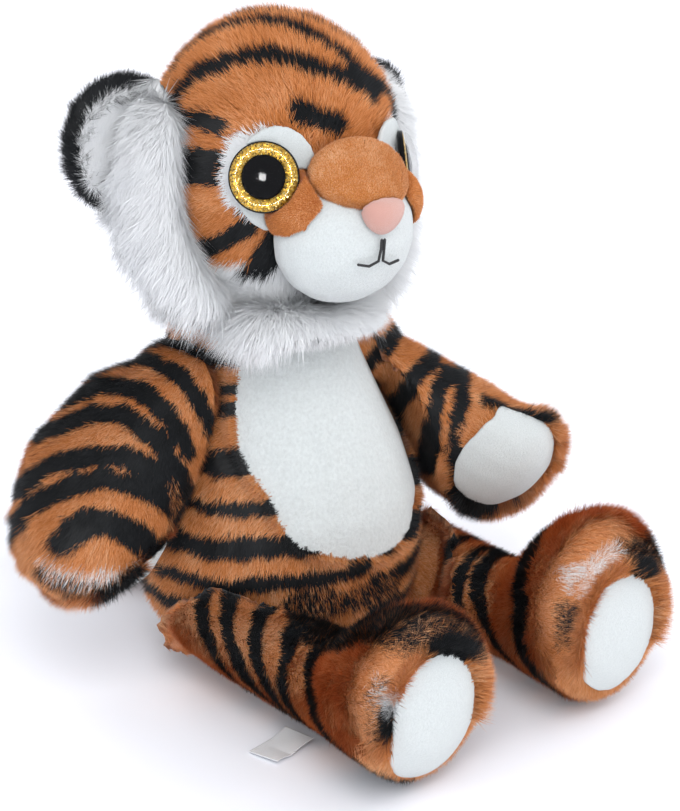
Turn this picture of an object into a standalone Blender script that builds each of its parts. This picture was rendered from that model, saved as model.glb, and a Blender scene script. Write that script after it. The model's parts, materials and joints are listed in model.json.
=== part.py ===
"""Plush tiger sitting with its legs forward, in metres.

+Z is up, it faces -Y, and the origin is on the floor under the body.

The tiger's own right side is at -X. Sizes are taken at the surface of the pile. Each form is a closed loft
or ball. A skin is its form less a cavity that opens at the seam, and the filling fits in that cavity.
"""

import math

import bmesh
import bpy
from mathutils import Matrix, Quaternion, Vector

# Fits and walls
GAP = 0.0003
PILE_WALL = 0.0022
PAD_WALL = 0.0014
OVERRUN = 0.060
SEAT_CUT = 0.0005
SWING_CLEARANCE = 0.0006
WELD = 0.000005

# Body, a pear from the floor to the neck seam: place, width, depth and forward shares
BODY_WIDTH = 0.1055
BODY_DEPTH = 0.1055
NECK_HEIGHT = 0.1287
BELLY_FORWARD = 0.0106
BODY_PROFILE_SHARES = (
    (0.00, 0.95, 0.95, 0.9),
    (0.20, 0.99, 0.98, 1.0),
    (0.38, 1.00, 1.00, 1.0),
    (0.55, 0.93, 0.95, 0.8),
    (0.72, 0.79, 0.80, 0.5),
    (0.88, 0.66, 0.66, 0.2),
    (1.00, 0.59, 0.59, 0.0),
)
BODY_DOME_SHARE = 0.20
BODY_ROUND = 2.6

# Belly panel outline: place up it and half width share
PANEL_WIDTH = 0.0802
PANEL_TOP = 0.1224
PANEL_BOTTOM = 0.0443
PANEL_HALF_SHARES = (
    (0.00, 0.05),
    (0.06, 0.46),
    (0.18, 0.86),
    (0.36, 1.00),
    (0.60, 0.86),
    (0.82, 0.64),
    (1.00, 0.58),
)

# Head
HEAD_WIDTH = 0.0939
HEAD_DEPTH = 0.0781
HEAD_FORWARD = 0.0106
HEAD_HEIGHT = 0.1815
CROWN_RISE = 0.0517
JAW_DROP = 0.0601
JAW_ROUND = 2.3
HEAD_TRIM = math.radians(27)
HEAD_TILT = math.radians(8)

# Muzzle, bridge, nose and mouth
MUZZLE_WIDTH = 0.0570
MUZZLE_HEIGHT = 0.0485
MUZZLE_DEPTH = 0.0380
MUZZLE_FORWARD = 0.0401
MUZZLE_DROP = 0.0153
BRIDGE_WIDTH = 0.0430
BRIDGE_THICKNESS = 0.0253
BRIDGE_TOP_FORWARD = 0.0380
BRIDGE_TOP_RISE = 0.0116
BRIDGE_TIP_FORWARD = 0.0527
SIDE_WIDTH = 0.0253
SIDE_HEIGHT = 0.0274
SIDE_DEPTH = 0.0232
SIDE_SPREAD = 0.0195
SIDE_FORWARD = 0.0390
SIDE_DROP = 0.0053
NOSE_WIDTH = 0.0174
NOSE_HEIGHT = 0.0153
NOSE_DEPTH = 0.0106
NOSE_FORWARD = 0.0580
NOSE_DROP = 0.0032
STITCH_RADIUS = 0.0005
STITCH_SUNK_SHARE = 0.4
MOUTH_DROP = 0.0084
MOUTH_REACH = 0.0090
MOUTH_CURL = 0.0016

# Eyes
EYE_RADIUS = 0.0120
EYE_SPREAD = 0.0290
EYE_RISE = 0.0042
EYE_TURN = math.radians(50)
EYE_TILT = math.radians(13)
EYE_STAND = 0.0017
EYE_BACK_THICKNESS = 0.0015
EYE_LAYER = 0.0004
EYE_DOME_RISE = 0.0042
PUPIL_RADIUS = 0.0080
SHANK_RADIUS = 0.0026
SHANK_LENGTH = 0.0158
WASHER_RADIUS = 0.0070
WASHER_THICKNESS = 0.0012
WASHER_DEPTH = 0.0100
PATCH_HALF_WIDTH = 0.0132
PATCH_HALF_HEIGHT = 0.0174
PATCH_INWARD = 0.0032
PATCH_THICKNESS = 0.0009

# Ears
EAR_WIDTH = 0.0443
EAR_HEIGHT = 0.0506
EAR_THICKNESS = 0.0169
EAR_SPREAD = 0.0554
EAR_RISE = 0.0058
EAR_BACK = 0.0169
EAR_TURN = math.radians(12)
EAR_LEAN = math.radians(22)
EAR_RIM = 0.0037
LINING_THICKNESS = 0.0038
LINING_SCOOP = 0.0032

# Ruff, with the cheek's middle line as turns from the front and drops from the middle, in degrees
RUFF_DROP = 0.0012
RUFF_STAND = 0.0042
CHEEK_HALF_THICKNESS = 0.0106
CHEEK_HALF_WIDTH = 0.0164
CHIN_HALF_THICKNESS = 0.0084
CHIN_HALF_WIDTH = 0.0127
CHEEK_TURNS = (104, 100, 92, 77, 58)
CHEEK_DROPS = (-26, -6, 18, 38, 50)
CHIN_DROP = math.radians(50)
CHIN_TURN = math.radians(58)
CHIN_LINE_SHARES = (-1, -0.5, 0, 0.5, 1)
RUFF_DOME_SHARE = 0.22

# Arms, with their profile as place, width and thickness shares
SHOULDER_SPREAD = 0.0348
SHOULDER_FORWARD = 0.0042
SHOULDER_HEIGHT = 0.1076
ARM_LENGTH = 0.0913
ARM_ABOVE = 0.0179
ARM_WIDTH = 0.0607
ARM_THICKNESS = 0.0527
ARM_PROFILE_SHARES = (
    (0.00, 0.64, 0.60),
    (0.20, 0.74, 0.70),
    (0.45, 0.90, 0.86),
    (0.72, 1.00, 1.00),
    (1.00, 0.98, 0.98),
)
ARM_OUT = {"right": math.radians(46), "left": math.radians(42)}
ARM_SWING = {"right": 0.0, "left": math.radians(37)}
ARM_AXIS_RISE = math.radians(18)
ARM_AXIS_FORWARD = math.radians(8)
ARM_TRIM = (math.radians(-20), math.radians(65))
PALM_RADIUS = 0.0185
PALM_TURN = {"right": math.radians(35), "left": math.radians(58)}
PALM_TIPWARD_SHARE = 0.25

# Legs, with their profile as place and how far the leg has widened to the foot
HIP_SPREAD = 0.0422
HIP_FORWARD = 0.0316
LEG_LENGTH = 0.1097
LEG_BEHIND = 0.0274
LEG_WIDTH = 0.0411
LEG_HEIGHT = 0.0406
FOOT_WIDTH = 0.0644
FOOT_HEIGHT = 0.0665
LEG_PROFILE_SHARES = (
    (0.00, 0.00),
    (0.50, 0.00),
    (0.66, 0.12),
    (0.80, 0.86),
    (0.90, 1.00),
    (1.00, 0.94),
)
LEG_SPLAY = {"right": math.radians(-3), "left": math.radians(3)}
LEG_TRIM = math.radians(22)
LEG_RISE = 0.0063
SOLE_WIDTH = 0.0411
SOLE_HEIGHT = 0.0475

# Tail, label and loose thread
TAIL_LENGTH = 0.0791
TAIL_WIDTH = 0.0222
TAIL_START = 0.0316
TAIL_TURN = math.radians(24)
TAIL_TRIM = math.radians(25)
LABEL_LENGTH = 0.0190
LABEL_WIDTH = 0.0127
LABEL_THICKNESS = 0.0005
LABEL_PLACE = 0.0422
LABEL_IN = 0.0063
THREAD_RADIUS = 0.0003
THREAD_LENGTH = 0.0090
THREAD_SHARES = (0.0, 0.35, 0.7, 1.0)

# How finely the forms are faceted
AROUND = 20
INSIDE_AROUND = 12
BALL_AROUND = 16
RUFF_AROUND = 12
DOME_RINGS = 3
MIDDLE_RINGS = 5
RUFF_RINGS = 6
SWEEP_STEP = math.radians(9)

UP = Vector((0, 0, 1))
FRONT = Vector((0, -1, 0))
RIGHTWARD = Vector((1, 0, 0))
SIDES = {"right": -1, "left": 1}
HEAD_CENTRE = Vector((0, -HEAD_FORWARD, HEAD_HEIGHT))
HEAD_TURN = (
    Matrix.Translation(HEAD_CENTRE) @ Matrix.Rotation(HEAD_TILT, 4, "Y") @ Matrix.Translation(-HEAD_CENTRE)
)

MATERIALS = {
    "orange_pile": ((0.50, 0.16, 0.04), 0.95, 0.0),
    "black_pile": ((0.015, 0.016, 0.018), 0.95, 0.0),
    "white_pile": ((0.85, 0.87, 0.88), 0.95, 0.0),
    "orange_velboa": ((0.52, 0.15, 0.03), 0.9, 0.0),
    "nose_velour": ((0.82, 0.38, 0.30), 0.85, 0.0),
    "black_thread": ((0.01, 0.01, 0.01), 0.7, 0.0),
    "white_thread": ((0.85, 0.85, 0.85), 0.7, 0.0),
    "black_plastic": ((0.01, 0.01, 0.01), 0.12, 0.0),
    "gold_glitter": ((0.60, 0.34, 0.04), 0.3, 0.8),
    "clear_plastic": ((0.9, 0.9, 0.9), 0.03, 0.0),
    "white_plastic": ((0.8, 0.8, 0.8), 0.4, 0.0),
    "polyester_filling": ((0.88, 0.88, 0.86), 1.0, 0.0),
    "label_satin": ((0.88, 0.88, 0.88), 0.5, 0.0),
}


def clear_scene():
    """Removes the objects that the scene starts with."""
    for obj in list(bpy.data.objects):
        bpy.data.objects.remove(obj, do_unlink=True)


def material(name):
    """The named material, made once."""
    found = bpy.data.materials.get(name)
    if found:
        return found
    colour, roughness, metallic = MATERIALS[name]
    made = bpy.data.materials.new(name)
    made.use_nodes = True
    shader = made.node_tree.nodes["Principled BSDF"]
    shader.inputs["Base Color"].default_value = (*colour, 1)
    shader.inputs["Roughness"].default_value = roughness
    shader.inputs["Metallic"].default_value = metallic
    made.diffuse_color = (*colour, 1)
    return made


def smooth_share(table, place):
    """Values at a place along a table of rows (place, value, ...), on a smooth curve through the rows."""
    rows = [tuple(row) for row in table]
    if place <= rows[0][0]:
        return rows[0][1:]
    if place >= rows[-1][0]:
        return rows[-1][1:]
    index = next(i for i in range(1, len(rows)) if place <= rows[i][0]) - 1
    start, end = rows[index], rows[index + 1]
    before = rows[max(index - 1, 0)]
    after = rows[min(index + 2, len(rows) - 1)]
    span = end[0] - start[0]
    x = (place - start[0]) / span
    values = []
    for column in range(1, len(start)):
        rise_in = (end[column] - before[column]) / (end[0] - before[0]) * span
        rise_out = (after[column] - start[column]) / (after[0] - start[0]) * span
        values.append(
            (2 * x**3 - 3 * x**2 + 1) * start[column]
            + (x**3 - 2 * x**2 + x) * rise_in
            + (3 * x**2 - 2 * x**3) * end[column]
            + (x**3 - x**2) * rise_out
        )
    return tuple(values)


def dome_share(place, start, end, power=2.0):
    """How wide a form is at a place along it, against its full width there, where its two ends close."""
    if place < start:
        x = (start - place) / start
    elif place > 1 - end:
        x = (place - 1 + end) / end
    else:
        return 1.0
    return max(0.0, 1 - x**power) ** (1 / power)


def loft_places(start, end, middle=MIDDLE_RINGS):
    """Places of a loft's rings, closer together where its ends close."""
    angles = [math.pi / 2 * (i + 1) / (DOME_RINGS + 1) for i in range(DOME_RINGS)]
    rising = [start * (1 - math.cos(angle)) for angle in angles]
    closing = [1 - end * (1 - math.cos(angle)) for angle in reversed(angles)]
    between = [start + (1 - start - end) * i / (middle - 1) for i in range(middle)]
    return rising + between + closing


def closed_loft(rings, first_pole, last_pole):
    """A closed mesh through rings of points, with a fan of faces to a pole at each end."""
    mesh = bmesh.new()
    made = [[mesh.verts.new(point) for point in ring] for ring in rings]
    first = mesh.verts.new(first_pole)
    last = mesh.verts.new(last_pole)
    count = len(rings[0])
    for i in range(count):
        j = (i + 1) % count
        mesh.faces.new((first, made[0][j], made[0][i]))
        mesh.faces.new((last, made[-1][i], made[-1][j]))
        for low, high in zip(made, made[1:]):
            mesh.faces.new((low[i], low[j], high[j], high[i]))
    bmesh.ops.recalc_face_normals(mesh, faces=mesh.faces)
    return mesh


def ellipse(centre, across, along, half_across, half_along, count=AROUND):
    """Points round an ellipse, placed so that a flat and not a corner comes lowest."""
    points = []
    for i in range(count):
        angle = 2 * math.pi * (i + 1 / 2) / count
        offset = across * (half_across * math.cos(angle)) + along * (half_along * math.sin(angle))
        points.append(centre + offset)
    return points


def ball(centre, half_sizes, turn=None, count=BALL_AROUND, rings=None):
    """A closed ellipsoid. Its turn is a rotation matrix about its own centre."""
    mesh = bmesh.new()
    bmesh.ops.create_uvsphere(mesh, u_segments=count, v_segments=rings or count // 2, radius=1)
    rotation = turn.to_4x4() if turn else Matrix.Identity(4)
    size = Matrix.Diagonal((*half_sizes, 1))
    mesh.transform(Matrix.Translation(centre) @ rotation @ size)
    return mesh


def prism(outline, depth_vector):
    """A closed prism from a flat outline, swept by the depth vector."""
    mesh = bmesh.new()
    face = mesh.faces.new([mesh.verts.new(point) for point in outline])
    swept = bmesh.ops.extrude_face_region(mesh, geom=[face])["geom"]
    corners = [item for item in swept if isinstance(item, bmesh.types.BMVert)]
    bmesh.ops.translate(mesh, verts=corners, vec=depth_vector)
    bmesh.ops.recalc_face_normals(mesh, faces=mesh.faces)
    return mesh


def grown(mesh, amount):
    """A copy of a closed mesh with its surface moved out, or in where the amount is negative."""
    copy = mesh.copy()
    copy.normal_update()
    moved = [(vertex, vertex.co + vertex.normal * amount) for vertex in copy.verts]
    for vertex, place in moved:
        vertex.co = place
    return copy


def cut_flat(mesh, point, normal):
    """Takes off what lies beyond a plane and closes the cut with one flat face."""
    everything = mesh.verts[:] + mesh.edges[:] + mesh.faces[:]
    cut = bmesh.ops.bisect_plane(mesh, geom=everything, plane_co=point, plane_no=normal, clear_outer=True)
    edges = [item for item in cut["geom_cut"] if isinstance(item, bmesh.types.BMEdge)]
    bmesh.ops.edgeloop_fill(mesh, edges=edges)
    bmesh.ops.recalc_face_normals(mesh, faces=mesh.faces)
    return mesh


def as_object(mesh, name):
    """A scene object of a mesh."""
    data = bpy.data.meshes.new(name)
    mesh.to_mesh(data)
    obj = bpy.data.objects.new(name, data)
    bpy.context.scene.collection.objects.link(obj)
    return obj


def combined(mesh, cutter, operation="DIFFERENCE"):
    """The closed mesh after an exact Boolean with the cutter."""
    target = as_object(mesh, "cut_target")
    tool = as_object(cutter, "cut_tool")
    modifier = target.modifiers.new("cut", "BOOLEAN")
    modifier.operation = operation
    modifier.solver = "EXACT"
    modifier.object = tool
    evaluated = target.evaluated_get(bpy.context.evaluated_depsgraph_get())
    result = bmesh.new()
    result.from_mesh(evaluated.to_mesh())
    evaluated.to_mesh_clear()
    for obj in (target, tool):
        bpy.data.objects.remove(obj, do_unlink=True)
    return result


def without(mesh, *cutters):
    """The mesh less each of the cutters."""
    for cutter in cutters:
        mesh = combined(mesh, cutter)
    return mesh


def swept_away(mesh, cutter, pivot, axis, low, high):
    """The mesh less the cutter, wherever the mesh is turned to about the axis between the two angles."""
    steps = math.ceil((high - low) / SWEEP_STEP)
    for step in range(steps + 1):
        angle = low + (high - low) * step / steps
        turned = cutter.copy()
        rotation = Matrix.Rotation(-angle, 4, axis)
        turned.transform(Matrix.Translation(pivot) @ rotation @ Matrix.Translation(-pivot))
        mesh = combined(mesh, turned)
    return mesh


def largest_piece(mesh):
    """Keeps the largest connected piece of a mesh."""
    left = set(mesh.verts)
    pieces = []
    while left:
        queue = [left.pop()]
        piece = set(queue)
        while queue:
            for edge in queue.pop().link_edges:
                for vertex in edge.verts:
                    if vertex in left:
                        left.discard(vertex)
                        piece.add(vertex)
                        queue.append(vertex)
        pieces.append(piece)
    pieces.sort(key=len, reverse=True)
    for piece in pieces[1:]:
        bmesh.ops.delete(mesh, geom=list(piece), context="VERTS")
    return mesh


def empty(name, place, parent=None):
    """The pivot of a body, at a place in the world."""
    pivot = bpy.data.objects.new(name, None)
    bpy.context.scene.collection.objects.link(pivot)
    pivot.empty_display_size = EYE_RADIUS
    pivot.location = place - world_place(parent)
    pivot.parent = parent
    return pivot


def world_place(pivot):
    """Where an empty stands in the world, through its parents."""
    place = Vector()
    while pivot:
        place += pivot.location
        pivot = pivot.parent
    return place


def piece(name, mesh, colour, pivot):
    """Makes a named object of a mesh in world places, with its origin on its pivot."""
    mesh = largest_piece(mesh)
    bmesh.ops.dissolve_degenerate(mesh, edges=mesh.edges, dist=WELD)
    obj = as_object(mesh, name)
    obj.data.transform(Matrix.Translation(-world_place(pivot)))
    obj.data.materials.append(material(colour))
    obj.parent = pivot
    obj.data.shade_smooth()
    obj.data.set_sharp_from_angle(angle=math.radians(40))
    return obj


def head_piece(name, mesh, colour, pivot):
    """Makes a piece of the head, which is modelled upright and then tilted."""
    mesh.transform(HEAD_TURN)
    return piece(name, mesh, colour, pivot)


def body_form(count=AROUND):
    """The pear of the body, from just under the floor to above the neck seam."""
    rings = []
    total = NECK_HEIGHT * (1 + BODY_DOME_SHARE)
    for place in (SEAT_CUT / total, *loft_places(BODY_DOME_SHARE, BODY_DOME_SHARE, MIDDLE_RINGS + 2)):
        height = place * total
        width, depth, forward = smooth_share(BODY_PROFILE_SHARES, height / NECK_HEIGHT)
        dome = dome_share(place, BODY_DOME_SHARE, BODY_DOME_SHARE * 2 / 3, BODY_ROUND)
        centre = Vector((0, -BELLY_FORWARD * forward, height - SEAT_CUT))
        half_width = BODY_WIDTH / 2 * width * dome
        half_depth = BODY_DEPTH / 2 * depth * dome
        rings.append(ellipse(centre, RIGHTWARD, FRONT, half_width, half_depth, count))
    low = Vector((0, -BELLY_FORWARD * BODY_PROFILE_SHARES[0][3], -SEAT_CUT))
    high = Vector((0, 0, total - SEAT_CUT))
    return closed_loft(rings, low, high)


def make_body(pivot):
    """The body's skin, belly panel and filling.

    It returns the body's form, which other forms are cut by.
    """
    form = body_form()
    inside = body_form(INSIDE_AROUND)
    neck = Vector((0, 0, NECK_HEIGHT))
    floor = Vector()
    solid = cut_flat(cut_flat(form.copy(), neck, UP), floor, -UP)
    cavity = cut_flat(grown(inside, -PILE_WALL), Vector((0, 0, PILE_WALL)), -UP)
    shell = without(solid, cavity)
    piece("body_skin", without(shell, panel_cutter(GAP)), "orange_pile", pivot)
    thin = without(solid, grown(form, -PAD_WALL))
    piece("belly_panel", combined(thin, panel_cutter(0.0), "INTERSECT"), "white_pile", pivot)
    filling = cut_flat(grown(inside, -PILE_WALL - GAP), neck, UP)
    filling = cut_flat(filling, Vector((0, 0, PILE_WALL + GAP)), -UP)
    piece("body_filling", filling, "polyester_filling", pivot)
    return form


def panel_cutter(margin):
    """The belly panel's outline as a prism through the front of the body."""
    rise = PANEL_TOP - PANEL_BOTTOM
    right, left = [], []
    for step in range(AROUND // 2 + 1):
        place = step / (AROUND // 2)
        half = PANEL_WIDTH / 2 * smooth_share(PANEL_HALF_SHARES, place)[0] + margin
        height = PANEL_BOTTOM + rise * place + margin * (2 * place - 1)
        right.append(Vector((-half, -BELLY_FORWARD, height)))
        left.append(Vector((half, -BELLY_FORWARD, height)))
    return prism(right + left[::-1], FRONT * OVERRUN)


def head_form(count=AROUND):
    """The head's form, an ellipsoid with a fuller jaw."""
    mesh = ball(Vector(), (HEAD_WIDTH / 2, HEAD_DEPTH / 2, 1), count=count, rings=count * 4 // 7)
    for vertex in mesh.verts:
        height = vertex.co.z
        if height >= 0:
            vertex.co.z = height * CROWN_RISE
            continue
        round_width = math.sqrt(max(0.0, 1 - height**2))
        full_width = (1 - (-height) ** JAW_ROUND) ** (1 / JAW_ROUND)
        if round_width > 0:
            vertex.co.x *= full_width / round_width
            vertex.co.y *= full_width / round_width
        vertex.co.z = height * JAW_DROP
    mesh.transform(Matrix.Translation(HEAD_CENTRE))
    return mesh


def head_point(turn, drop, stand):
    """A point on the head's surface, turned from the front to the left and dropped below its middle."""
    across = math.cos(drop)
    fall = JAW_DROP if drop > 0 else CROWN_RISE
    return HEAD_CENTRE + Vector(
        (
            (HEAD_WIDTH / 2 + stand) * across * math.sin(turn),
            -(HEAD_DEPTH / 2 + stand) * across * math.cos(turn),
            -(fall + stand) * math.sin(drop),
        )
    )


def eye_frame(side):
    """The eye's seat on the head and its axes: across, up and out."""
    turn = SIDES[side] * EYE_TURN
    out = Quaternion(UP, turn) @ (Quaternion(Vector((1, 0, 0)), -EYE_TILT) @ FRONT)
    across = UP.cross(out).normalized()
    up = out.cross(across)
    x = SIDES[side] * EYE_SPREAD
    deep = math.sqrt(1 - (EYE_RISE / CROWN_RISE) ** 2 - (EYE_SPREAD / (HEAD_WIDTH / 2)) ** 2)
    seat = HEAD_CENTRE + Vector((x, -HEAD_DEPTH / 2 * deep, EYE_RISE))
    return seat, across, up, out


def disc(centre, across, up, radius, thickness, out, count=AROUND):
    """A closed disc that stands out from its centre."""
    return prism(ellipse(centre, across, up, radius, radius, count), out * thickness)


def make_eye(side, pivot):
    """The eye's back with its shank, the glitter ring, the pupil, the clear dome and the washer."""
    seat, across, up, out = eye_frame(side)
    back_face = seat + out * EYE_STAND
    back = disc(back_face, across, up, EYE_RADIUS, EYE_BACK_THICKNESS, out)
    root = back_face + out * EYE_BACK_THICKNESS / 2
    shank = disc(root, across, up, SHANK_RADIUS, SHANK_LENGTH, -out, AROUND // 2)
    head_piece(f"eye_back_{side}", combined(back, shank, "UNION"), "black_plastic", pivot)
    layer = back_face + out * (EYE_BACK_THICKNESS + GAP)
    ring = disc(layer, across, up, EYE_RADIUS - GAP, EYE_LAYER, out)
    hole = disc(layer - out * EYE_LAYER, across, up, PUPIL_RADIUS + GAP, EYE_LAYER * 3, out)
    head_piece(f"eye_glitter_{side}", without(ring, hole), "gold_glitter", pivot)
    pupil = disc(layer, across, up, PUPIL_RADIUS, EYE_LAYER, out)
    head_piece(f"eye_pupil_{side}", pupil, "black_plastic", pivot)
    lens_face = layer + out * (EYE_LAYER + GAP)
    turn = Matrix((across, up, out)).transposed()
    lens = ball(lens_face, (EYE_RADIUS, EYE_RADIUS, EYE_DOME_RISE), turn, AROUND, AROUND // 3)
    head_piece(f"eye_dome_{side}", cut_flat(lens, lens_face, -out), "clear_plastic", pivot)
    washer_face = back_face - out * WASHER_DEPTH
    washer = disc(washer_face, across, up, WASHER_RADIUS, WASHER_THICKNESS, -out, AROUND // 2)
    bore_face = washer_face + out * WASHER_THICKNESS
    bore = disc(bore_face, across, up, SHANK_RADIUS + GAP, WASHER_THICKNESS * 3, -out, AROUND // 2)
    head_piece(f"eye_washer_{side}", without(washer, bore), "white_plastic", pivot)


def eye_hole(side):
    """The room that the shank takes through the skin, the patch and the filling."""
    seat, across, up, out = eye_frame(side)
    mouth = seat + out * OVERRUN / 4
    return disc(mouth, across, up, SHANK_RADIUS + GAP, OVERRUN / 4 + SHANK_LENGTH, -out, AROUND // 2)


def eye_room(side):
    """The room that the eye takes, which presses the pile in where its rim meets the head."""
    seat, across, up, out = eye_frame(side)
    return disc(seat + out * (EYE_STAND - GAP), across, up, EYE_RADIUS + GAP, OVERRUN / 4, out)


def washer_pocket(side):
    """The room that the washer takes in the filling."""
    seat, across, up, out = eye_frame(side)
    pocket_face = seat + out * (EYE_STAND - WASHER_DEPTH + GAP)
    return disc(pocket_face, across, up, WASHER_RADIUS + GAP, WASHER_THICKNESS + 2 * GAP, -out, AROUND // 2)


def patch_form(side, form):
    """The smooth white patch under the eye, lying on the head and clear of the bridge and lobes."""
    seat, across, up, out = eye_frame(side)
    centre = seat - across * (SIDES[side] * PATCH_INWARD)
    outline = ellipse(centre - out * WASHER_DEPTH, across, up, PATCH_HALF_WIDTH, PATCH_HALF_HEIGHT)
    sheet = combined(prism(outline, out * OVERRUN / 2), grown(form, GAP + PATCH_THICKNESS), "INTERSECT")
    taken = [grown(item, GAP) for item in (form, muzzle_form()[0], bridge_form(), side_form(side))]
    return without(sheet, *taken, eye_room(side), eye_hole(side))


def muzzle_form():
    """The muzzle's form and its centre."""
    centre = HEAD_CENTRE + Vector((0, -MUZZLE_FORWARD, -MUZZLE_DROP))
    return ball(centre, (MUZZLE_WIDTH / 2, MUZZLE_DEPTH / 2, MUZZLE_HEIGHT / 2)), centre


def bridge_form():
    """The long form from the brow to the nose."""
    top = HEAD_CENTRE + Vector((0, -BRIDGE_TOP_FORWARD, BRIDGE_TOP_RISE))
    tip = HEAD_CENTRE + Vector((0, -BRIDGE_TIP_FORWARD, 0))
    along = tip - top
    slope = math.atan2(-along.z, -along.y)
    turn = Matrix.Rotation(slope, 3, "X")
    half_sizes = (BRIDGE_WIDTH / 2, along.length / 2 + BRIDGE_THICKNESS / 5, BRIDGE_THICKNESS / 2)
    return ball((top + tip) / 2, half_sizes, turn)


def side_form(side):
    """The lobe beside the bridge."""
    centre = HEAD_CENTRE + Vector((SIDES[side] * SIDE_SPREAD, -SIDE_FORWARD, -SIDE_DROP))
    return ball(centre, (SIDE_WIDTH / 2, SIDE_DEPTH / 2, SIDE_HEIGHT / 2))


def make_muzzle(form, pivot):
    """The muzzle, its bridge and side lobes, the nose and the mouth's stitches."""
    head = grown(form, GAP)
    muzzle, centre = muzzle_form()
    bridge = bridge_form()
    nose_centre = HEAD_CENTRE + Vector((0, -NOSE_FORWARD, -NOSE_DROP))
    nose = ball(nose_centre, (NOSE_WIDTH / 2, NOSE_DEPTH / 2, NOSE_HEIGHT / 2))
    eyes = [eye_room(side) for side in SIDES]
    head_piece("muzzle", without(muzzle, head), "white_pile", pivot)
    head_piece("muzzle_bridge", without(bridge, head, grown(muzzle, GAP), *eyes), "orange_velboa", pivot)
    for side in SIDES:
        lobe = without(side_form(side), head, grown(muzzle, GAP), grown(bridge, GAP), *eyes)
        head_piece(f"muzzle_side_{side}", lobe, "orange_velboa", pivot)
    head_piece("nose", without(nose, grown(muzzle, GAP), grown(bridge, GAP)), "nose_velour", pivot)
    make_mouth(centre, nose_centre, pivot)


def patch_zone(side):
    """The room that the eye and its white patch take in front of the head."""
    seat, across, up, out = eye_frame(side)
    centre = seat - across * (SIDES[side] * PATCH_INWARD) - out * WASHER_DEPTH
    outline = ellipse(centre, across, up, PATCH_HALF_WIDTH + GAP, PATCH_HALF_HEIGHT + GAP)
    return prism(outline, out * OVERRUN / 2)


def make_mouth(centre, nose_centre, pivot):
    """Two stitches on the muzzle, each down from the nose and out along the lip."""
    start_drop = nose_centre.z - NOSE_HEIGHT / 2 - centre.z
    for side, sign in SIDES.items():
        stations = (
            (STITCH_RADIUS + GAP / 2, start_drop - STITCH_RADIUS * 2),
            (STITCH_RADIUS + GAP / 2, start_drop - MOUTH_DROP / 2),
            (STITCH_RADIUS * 2, start_drop - MOUTH_DROP),
            (MOUTH_REACH / 2, start_drop - MOUTH_DROP - MOUTH_CURL),
            (MOUTH_REACH, start_drop - MOUTH_DROP - MOUTH_CURL / 2),
        )
        points = [muzzle_surface(centre, sign * x, z) for x, z in stations]
        head_piece(f"mouth_stitch_{side}", tube(points, STITCH_RADIUS), "black_thread", pivot)


def muzzle_surface(centre, x, z):
    """The point just clear of the muzzle's front at a place across and up from its centre."""
    stand = GAP + STITCH_RADIUS * (1 + STITCH_SUNK_SHARE)
    half = (MUZZLE_WIDTH / 2 + stand, MUZZLE_DEPTH / 2 + stand, MUZZLE_HEIGHT / 2 + stand)
    deep = math.sqrt(1 - (x / half[0]) ** 2 - (z / half[2]) ** 2)
    return centre + Vector((x, -half[1] * deep, z))


def tube(points, radius, count=6):
    """A closed round tube along points."""
    rings = []
    for index, point in enumerate(points):
        before = points[max(index - 1, 0)]
        after = points[min(index + 1, len(points) - 1)]
        along = (after - before).normalized()
        across = along.cross(FRONT if abs(along.dot(FRONT)) < 0.9 else UP).normalized()
        rings.append(ellipse(point, across, along.cross(across), radius, radius, count))
    first = (points[0] - points[1]).normalized() * radius
    last = (points[-1] - points[-2]).normalized() * radius
    return closed_loft(rings, points[0] + first, points[-1] + last)


def ear_turn(side):
    """How the ear is turned on the head."""
    sign = SIDES[side]
    return Matrix.Rotation(sign * EAR_LEAN, 3, "Y") @ Matrix.Rotation(sign * EAR_TURN, 3, "Z")


def make_ear(side, form, pivot):
    """The ear's back, and its lining set into the front of it with a hollow."""
    turn = ear_turn(side)
    centre = HEAD_CENTRE + Vector((SIDES[side] * EAR_SPREAD, EAR_BACK, EAR_RISE))
    front = turn @ FRONT
    outer = ball(centre, (EAR_WIDTH / 2, EAR_THICKNESS / 2, EAR_HEIGHT / 2), turn)
    inner = ball(
        centre + front * LINING_THICKNESS,
        (EAR_WIDTH / 2 - EAR_RIM, EAR_THICKNESS / 2, EAR_HEIGHT / 2 - EAR_RIM),
        turn,
    )
    face = centre + front * LINING_THICKNESS
    back = cut_flat(without(outer, grown(inner, GAP), grown(form, GAP)), face, front)
    head_piece(f"ear_back_{side}", back, "black_pile", pivot)
    scoop = ball(
        centre + front * (EAR_THICKNESS / 2 + LINING_SCOOP),
        (EAR_WIDTH / 2 - EAR_RIM * 2, EAR_THICKNESS / 2 + LINING_SCOOP, EAR_HEIGHT / 2 - EAR_RIM * 2),
        turn,
    )
    lining = cut_flat(without(inner, grown(form, GAP), scoop), face, front)
    head_piece(f"ear_lining_{side}", lining, "white_pile", pivot)


def ruff_form(places, half_thickness, half_width):
    """A tapered crescent of pile along places on the head, given as turns and drops."""
    knots = [(index / (len(places) - 1), turn, drop) for index, (turn, drop) in enumerate(places)]
    shares = loft_places(RUFF_DOME_SHARE, RUFF_DOME_SHARE, RUFF_RINGS)
    lines = [smooth_share(knots, share) for share in (0.0, *shares, 1.0)]
    points = [head_point(turn, drop, RUFF_STAND) for turn, drop in lines]
    rings = []
    for index, share in enumerate(shares, start=1):
        along = (points[index + 1] - points[index - 1]).normalized()
        out = (points[index] - HEAD_CENTRE).normalized()
        across = along.cross(out).normalized()
        out = across.cross(along)
        wide = dome_share(share, RUFF_DOME_SHARE, RUFF_DOME_SHARE)
        halves = (half_width * wide, half_thickness * wide)
        rings.append(ellipse(points[index], across, out, *halves, RUFF_AROUND))
    return closed_loft(rings, points[0], points[-1])


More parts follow.
